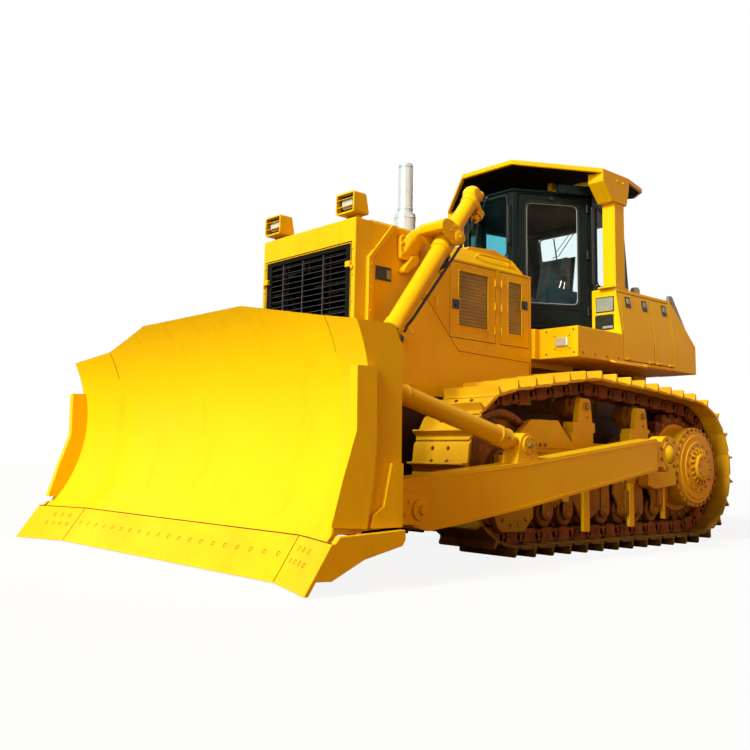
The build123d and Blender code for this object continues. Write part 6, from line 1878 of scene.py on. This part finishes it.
@dataclass
class Rear:
    """Platform, side boxes with their covers, tank, hull, hitch and engine."""

    half: float = 1.15
    top: float = 2.57
    lean: float = 0.07
    bend: float = 2.085

    def side_at(self, z: float) -> float:
        """How far out the side box's wall is at a height."""
        return self.half - max(z - self.bend, 0) * self.lean / (self.top - self.bend)

    def boxes(self) -> None:
        """Side boxes with plates, latches, hinges and lamps."""
        plates, pale, lamps = Shape(), Shape(), Shape()
        front = 0.932
        strip = rounded([(-0.12, 2.568), (-0.14, 2.632), (-0.2, 2.632), (-0.6, 2.135), (-0.555, 2.115),
                         (-0.18, 2.568)], 0.008, 3)
        for side in Side:
            s = side.sign
            soften(f"side_box_{side.value}", f"side_box_body_{side.value}", PAINT, 0.008)
            for made, back, ahead, y, z in ((plates, 0.002, 0.003, (0.85, 1.065), (2.325, 2.485)),
                                            (plates, 0.002, 0.003, (0.84, 1.06), (2.14, 2.3)),
                                            (pale, 0, 0.005, (0.858, 1.057), (2.335, 2.475)),
                                            (pale, 0, 0.005, (0.93, 1.05), (2.155, 2.18))):
                made.box((front - back, front + ahead), span(s, *y), z)
            for y, z in product((0.85, 1.05), (2.15, 2.29)):
                pale.dome((front + 0.003, s * y, z), (1, 0, 0), 0.006, 0.004, 8)
            self.cover("front", (0.316, 0.89), side, Body.COVER_FRONT)
            self.cover("rear", (-0.07, 0.304), side, Body.COVER_REAR)
            ring = [Vector((-0.18 - (self.top - z) * 0.87, y, z))
                    for y, z in oblong((s - 0.07, s + 0.07), (2.49, 2.55), 0.012, 3)]
            lamps.loft([ring, [point + Vector((-0.015, 0, 0.012)) for point in ring]])
            pale.slab(strip, s, 1.04, 1.072)
            pale.turned([(0, 0.05), (0.05, 0.05), (0.078, 0.038), (0.085, 0.01)], (0.43, s, 2.568), (0, 0, 1),
                        24)
        plates.place("side_box_plates", PLATE, bevel=0.001)
        pale.place("side_box_plate_faces", PALE_PLATE)
        lamps.place("tail_lamps", LENS, bevel=0.002)

    def cover(self, place: str, x_range: Flat, side: Side, body: Body) -> None:
        """One hinged cover with its latches and hinges."""
        s, name, rides = side.sign, f"{place}_{side.value}", body.on(side)
        soften(f"box_cover_{name}", f"box_cover_leaf_{name}", PAINT, 0.004, rides)
        black, bright, hinges = Shape(), Shape(), Shape()
        z = 2.44
        y = s * (self.side_at(z) - 0.002)
        out = Vector((0, s, self.lean / (self.top - self.bend))).normalized()
        up = Vector((0, -out.z * s, abs(out.y))).normalized()
        for middle in (0.732, 0.417) if place == "front" else (0.03,):
            for made, wide, low, tall, depth in ((black, 0.047, -0.062, 0.055, (0, 0.006)),
                                                 (bright, 0.026, -0.022, 0.035, (0.005, 0.013))):
                plan = oblong((-wide, wide), (low, tall), 0.01, 3)
                made.loft([[Vector((middle + a, y, z)) + up * b + out * high for a, b in plan]
                           for high in depth])
        for x in (x_range[0] + 0.07, x_range[1] - 0.07):
            hinges.turned([(-0.04, 0.012), (0.04, 0.012)], (x, s * (self.half + 0.002), 1.836), (1, 0, 0), 14)
        black.place(f"cover_latch_{name}", BLACK, rides, bevel=0.0015)
        bright.place(f"cover_latch_pull_{name}", PALE_PLATE, rides, bevel=0.0015)
        hinges.place(f"cover_hinges_{name}", PAINT, rides)

    def platform(self) -> None:
        """The fender platform with its handrails, grip strips, steps and lamp frames."""
        soften("platform", "fender_platform", PAINT, 0.008)
        grips, rails, bolts, plates = Shape(), Shape(), Shape(), Shape()
        for s in (-1, 1):
            for x, y in product(spread(1.0, 1.62, 12), spread(0.9, 1.1, 5)):
                turn = 1 if (round(x * 40) + round(y * 40)) % 2 else -1
                rise, at = Vector((0.016, 0.016 * turn, 0)), Vector((x, s * y, 2.0855))
                if y > 0.52 + (1.66 - x) * 0.605:
                    grips.tube([at - rise, at + rise], 0.0035, 6)
            rails.tube(sided(s, (1.14, 1.145, 1.795), (1.14, 1.195, 1.775), (0.53, 1.195, 1.775),
                             (0.53, 1.145, 1.795)), 0.0125, 12, 0.04)
            plates.prism(oblong(span(s, 0.87, 1.07), (1.86, 2.01), 0.015, 3), Plane.FRONT, 1.678, 1.684)
            for x, ys, zs, size in ((1.684, (0.885, 1.055), (1.875, 1.995), 0.006),
                                    (1.68, (0.78, 1.1), (1.83, 2.05), 0.008)):
                bolts.bolts([(x, s * y, z) for y, z in product(ys, zs)], (1, 0, 0), size)
            bolts.side_bolts(s, self.half, 0.009, *((x, 1.83) for x in spread(1.0, 1.6, 4)))
            bolts.side_bolts(s, 0.481, 0.016, *product((-0.39, 1.2), (1.42, 1.6)))
        grips.place("fender_grips", PAINT)
        rails.place("fender_handrails", PAINT)
        plates.place("fender_lamp_frames", PAINT, bevel=0.0015)
        bolts.place("platform_bolts", BOLT)

    def tank(self) -> None:
        """The fuel tank with its filler cap, straps and steps."""
        soften("fuel_tank", "fuel_tank_body", PAINT, 0.012)
        cap, rails = Shape(), Shape()
        cap.turned([(0, 0.062), (0.03, 0.062), (0.032, 0.075), (0.07, 0.075), (0.078, 0.066), (0.08, 0.02)],
                   (-0.22, 0.45, 2.568), (0, 0, 1), 32)
        cap.tube([(-0.22, 0.39, 2.655), (-0.22, 0.51, 2.655)], 0.008, 8)
        top, foot = Vector((-0.155, 0, 2.577)), Vector((-0.545, 0, 2.107))
        way = (foot - top).normalized()
        out = Vector((way.z, 0, -way.x))
        for y in (-0.35, 0.35):
            low, high = Vector((0, y - 0.03, 0)), Vector((0, y + 0.03, 0))
            rails.loft([[end + low - out * 0.012, end + high - out * 0.012, end + high - out * 0.005,
                         end + low - out * 0.005] for end in (top, foot)])
        for z in spread(2.2, 2.5, 4):
            x = -0.13 - (self.top - z) * 0.8557
            rails.tube([(x, -0.12, z), (x - 0.05, -0.12, z + 0.03), (x - 0.05, 0.12, z + 0.03), (x, 0.12, z)],
                       0.011, 10, 0.03)
        cap.place("tank_filler_cap", BLACK, bevel=0.002)
        rails.place("tank_steps_and_straps", PAINT, bevel=0.001)

    def hull(self) -> None:
        """The hull, hitch and engine with their bolts, covers and skirts."""
        soften("main_frame", "hull_body", HULL_GRIME_AND_SHADE, 0.01)
        soften("drawbar", "hitch_body", PAINT, 0.006)
        soften("engine_block", "engine_body", IRON, 0.03, segments=3)
        bolts, pins, covers, engine, skirts = (Shape() for _ in range(5))
        x = -0.522
        covers.prism(oblong((-0.24, 0.24), (0.8, 1.27), 0.04, 4), Plane.FRONT, x - 0.01, x + 0.002)
        rim = [*product(spread(-0.21, 0.21, 4), (0.825, 1.245)),
               *product((-0.215, 0.215), spread(0.93, 1.14, 3))]
        bolts.bolts([(x - 0.01, y, z) for y, z in rim], (-1, 0, 0), 0.011)
        bolts.bolts([(-0.53, y, z) for y, z in product((-0.176, 0.176), (0.64, 0.78))], (-1, 0, 0), 0.013)
        pins.turned([(-0.11, 0.02), (-0.105, 0.031), (0.26, 0.031), (0.265, 0.045), (0.285, 0.045),
                     (0.29, 0.03)], (-0.69, 0, 0.61), (0, 0, 1), 28)
        pins.tube([(-0.69, 0.0, 0.9), (-0.69, 0.0, 0.93), (-0.63, 0.0, 0.95), (-0.6, 0.0, 0.9)], 0.008, 10,
                  0.03)
        for s in (-1, 1):
            bolts.side_bolts(s, 0.481, 0.012, *((x, 1.22) for x in spread(2.1, 3.7, 7)))
            for x in spread(2.05, 3.15, 6):
                engine.boss([(0, 0.05), (0.03, 0.05), (0.05, 0.03)], s, (x, 0.38, 1.98), 20)
                engine.tube(sided(s, (x, 0.38, 1.72), (x, 0.46, 1.74), (x + 0.05, 0.48, 1.8)), 0.03, 12, 0.05)
            engine.tube(sided(s, (1.98, 0.49, 1.82), (3.3, 0.49, 1.82)), 0.05, 16)
            # skirts closing the gap under the platform, in the hull's dark paint of dirt and painted shade
            skirts.box((-0.5, 1.76), span(s, 0.478, 0.492), (1.29, 1.79))
            skirts.box((1.76, 3.86), span(s, 0.478, 0.492), (1.29, 1.42))
            for x in spread(-0.4, 1.66, 6):
                skirts.box((x - 0.02, x + 0.02), span(s, 0.488, 0.502), (1.31, 1.77))
        skirts.place("hull_skirts", HULL_GRIME_AND_SHADE, bevel=0.003)
        covers.place("hull_covers", PAINT, bevel=0.003)
        bolts.place("hull_bolts", BOLT)
        pins.place("hitch_pin", CHAIN, bevel=0.003)
        engine.place("engine_fittings", IRON)

    def build(self) -> None:
        """Makes everything behind and below the cab."""
        self.platform()
        self.boxes()
        self.tank()
        self.hull()
        log.info("platform, side boxes, tank, hull and hitch")


@dataclass
class Studio:
    """Floor, world, lamps and camera."""

    focal: float = 884.718
    frame_width: float = 750.0
    middle: Flat = (368.405, 341.5)
    stand: Point = (6.249, 6.084, 0.762)
    turn: Point = (228.591, 7.662, 1.221)

    def camera(self) -> None:
        """The camera at three-quarter view from the front left."""
        lens = bpy.data.cameras.new("camera")
        lens.sensor_width = 36
        lens.lens = self.focal / self.frame_width * 36
        lens.shift_x = (self.frame_width / 2 - self.middle[0]) / self.frame_width
        lens.shift_y = (self.middle[1] - self.frame_width / 2) / self.frame_width
        lens.clip_end = 200
        made = bpy.data.objects.new("camera", lens)
        bpy.context.scene.collection.objects.link(made)
        yaw, pitch, roll = (math.radians(angle) for angle in self.turn)
        ahead = Vector((math.cos(yaw) * math.cos(pitch), math.sin(yaw) * math.cos(pitch), math.sin(pitch)))
        right = ahead.cross(Vector((0, 0, 1))).normalized()
        up = right.cross(ahead)
        x_axis = right * math.cos(roll) + up * math.sin(roll)
        y_axis = -right * math.sin(roll) + up * math.cos(roll)
        turned = Matrix((x_axis, y_axis, -ahead)).transposed().to_4x4()
        made.matrix_world = Matrix.Translation(self.stand) @ turned
        bpy.context.scene.camera = made

    def floor(self) -> None:
        """A wide pale floor that keeps a soft shadow."""
        mesh = bpy.data.meshes.new("studio_floor")
        size = 60
        mesh.from_pydata([(-size, -size, 0), (size, -size, 0), (size, size, 0), (-size, size, 0)], [],
                         [(0, 1, 2, 3)])
        made = bpy.data.objects.new("studio_floor", mesh)
        bpy.context.scene.collection.objects.link(made)
        graph = Graph("studio_floor")
        seen = graph.add("LightPath", {}).outputs["Is Camera Ray"]
        colour = graph.mix(seen, (0.2, 0.12, 0.07), (0.86, 0.88, 1.0))
        graph.finish(colour, 0.9, graph.bump(graph.noise(4), 0.02, 0.001), Specular_IOR_Level=0.05)
        glow = graph.add("Emission", {"Color": (1.0, 1.0, 1.0), "Strength": 1.0})
        share = graph.sums("MULTIPLY", seen, 0.89)
        both = graph.add("MixShader", {0: share, 1: graph.shader.outputs[0], 2: glow.outputs[0]})
        graph.tree.links.new(both.outputs[0], graph.output.inputs[0])
        mesh.materials.append(graph.material)

    def world(self) -> None:
        """A white surround for what is seen and mirrored, and a soft warm light for the rest."""
        world = bpy.data.worlds.new("studio")
        world.use_nodes = True
        bpy.context.scene.world = world
        nodes, link = world.node_tree.nodes, world.node_tree.links.new
        nodes.clear()
        rays = nodes.new("ShaderNodeLightPath").outputs
        seen = rays["Is Camera Ray"]
        for name in ("Is Glossy Ray", "Is Transmission Ray"):
            both = nodes.new("ShaderNodeMath")
            both.operation = "MAXIMUM"
            link(seen, both.inputs[0])
            link(rays[name], both.inputs[1])
            seen = both.outputs[0]
        light, white, mixed, output = (nodes.new(f"ShaderNode{kind}")
                                       for kind in ("Background", "Background", "MixShader", "OutputWorld"))
        light.inputs[0].default_value = (0.2, 0.115, 0.065, 1)
        light.inputs[1].default_value = 1.0
        white.inputs[0].default_value = (1, 1, 1, 1)
        link(seen, mixed.inputs[0])
        link(light.outputs[0], mixed.inputs[1])
        link(white.outputs[0], mixed.inputs[2])
        link(mixed.outputs[0], output.inputs[0])

    def sun(self, name: str, towards: Point, colour: Colour, energy: float, spread_angle: float) -> None:
        """A distant lamp that shines from a direction."""
        lamp = bpy.data.lights.new(name, "SUN")
        lamp.color, lamp.energy, lamp.angle = colour, energy, spread_angle
        made = bpy.data.objects.new(name, lamp)
        made.rotation_euler = Vector(towards).to_track_quat("Z", "Y").to_euler()
        bpy.context.scene.collection.objects.link(made)

    def build(self) -> None:
        """Sets the scene up."""
        bpy.context.scene.view_settings.view_transform = "Standard"
        self.camera()
        self.floor()
        self.world()
        self.sun("key_lamp", (0.8, 0.03, 0.6), (0.93, 0.99, 0.8), 4.0, 0.3)
        self.sun("fill_lamp", (0.1, 0.9, 0.3), (1.0, 0.4, 0.12), 0.62, 0.8)
        self.sun("front_lamp", (0.95, 0.22, 0.1), (1.0, 0.92, 0.6), 1.2, 0.5)
        log.info("studio")


def main() -> None:
    """Builds the studio and the machine, group by group."""
    logging.basicConfig(level=logging.INFO, format="%(name)s: %(message)s")
    Studio().build()
    for group in (Tracks(), RunningGear(), Blade(), PushFrame(), LiftCylinders(), NoseGuard(), Hood(), Cab(),
                  CabInside(), RollFrame(), Rear()):
        group.build()


if __name__ == "__main__":
    main()
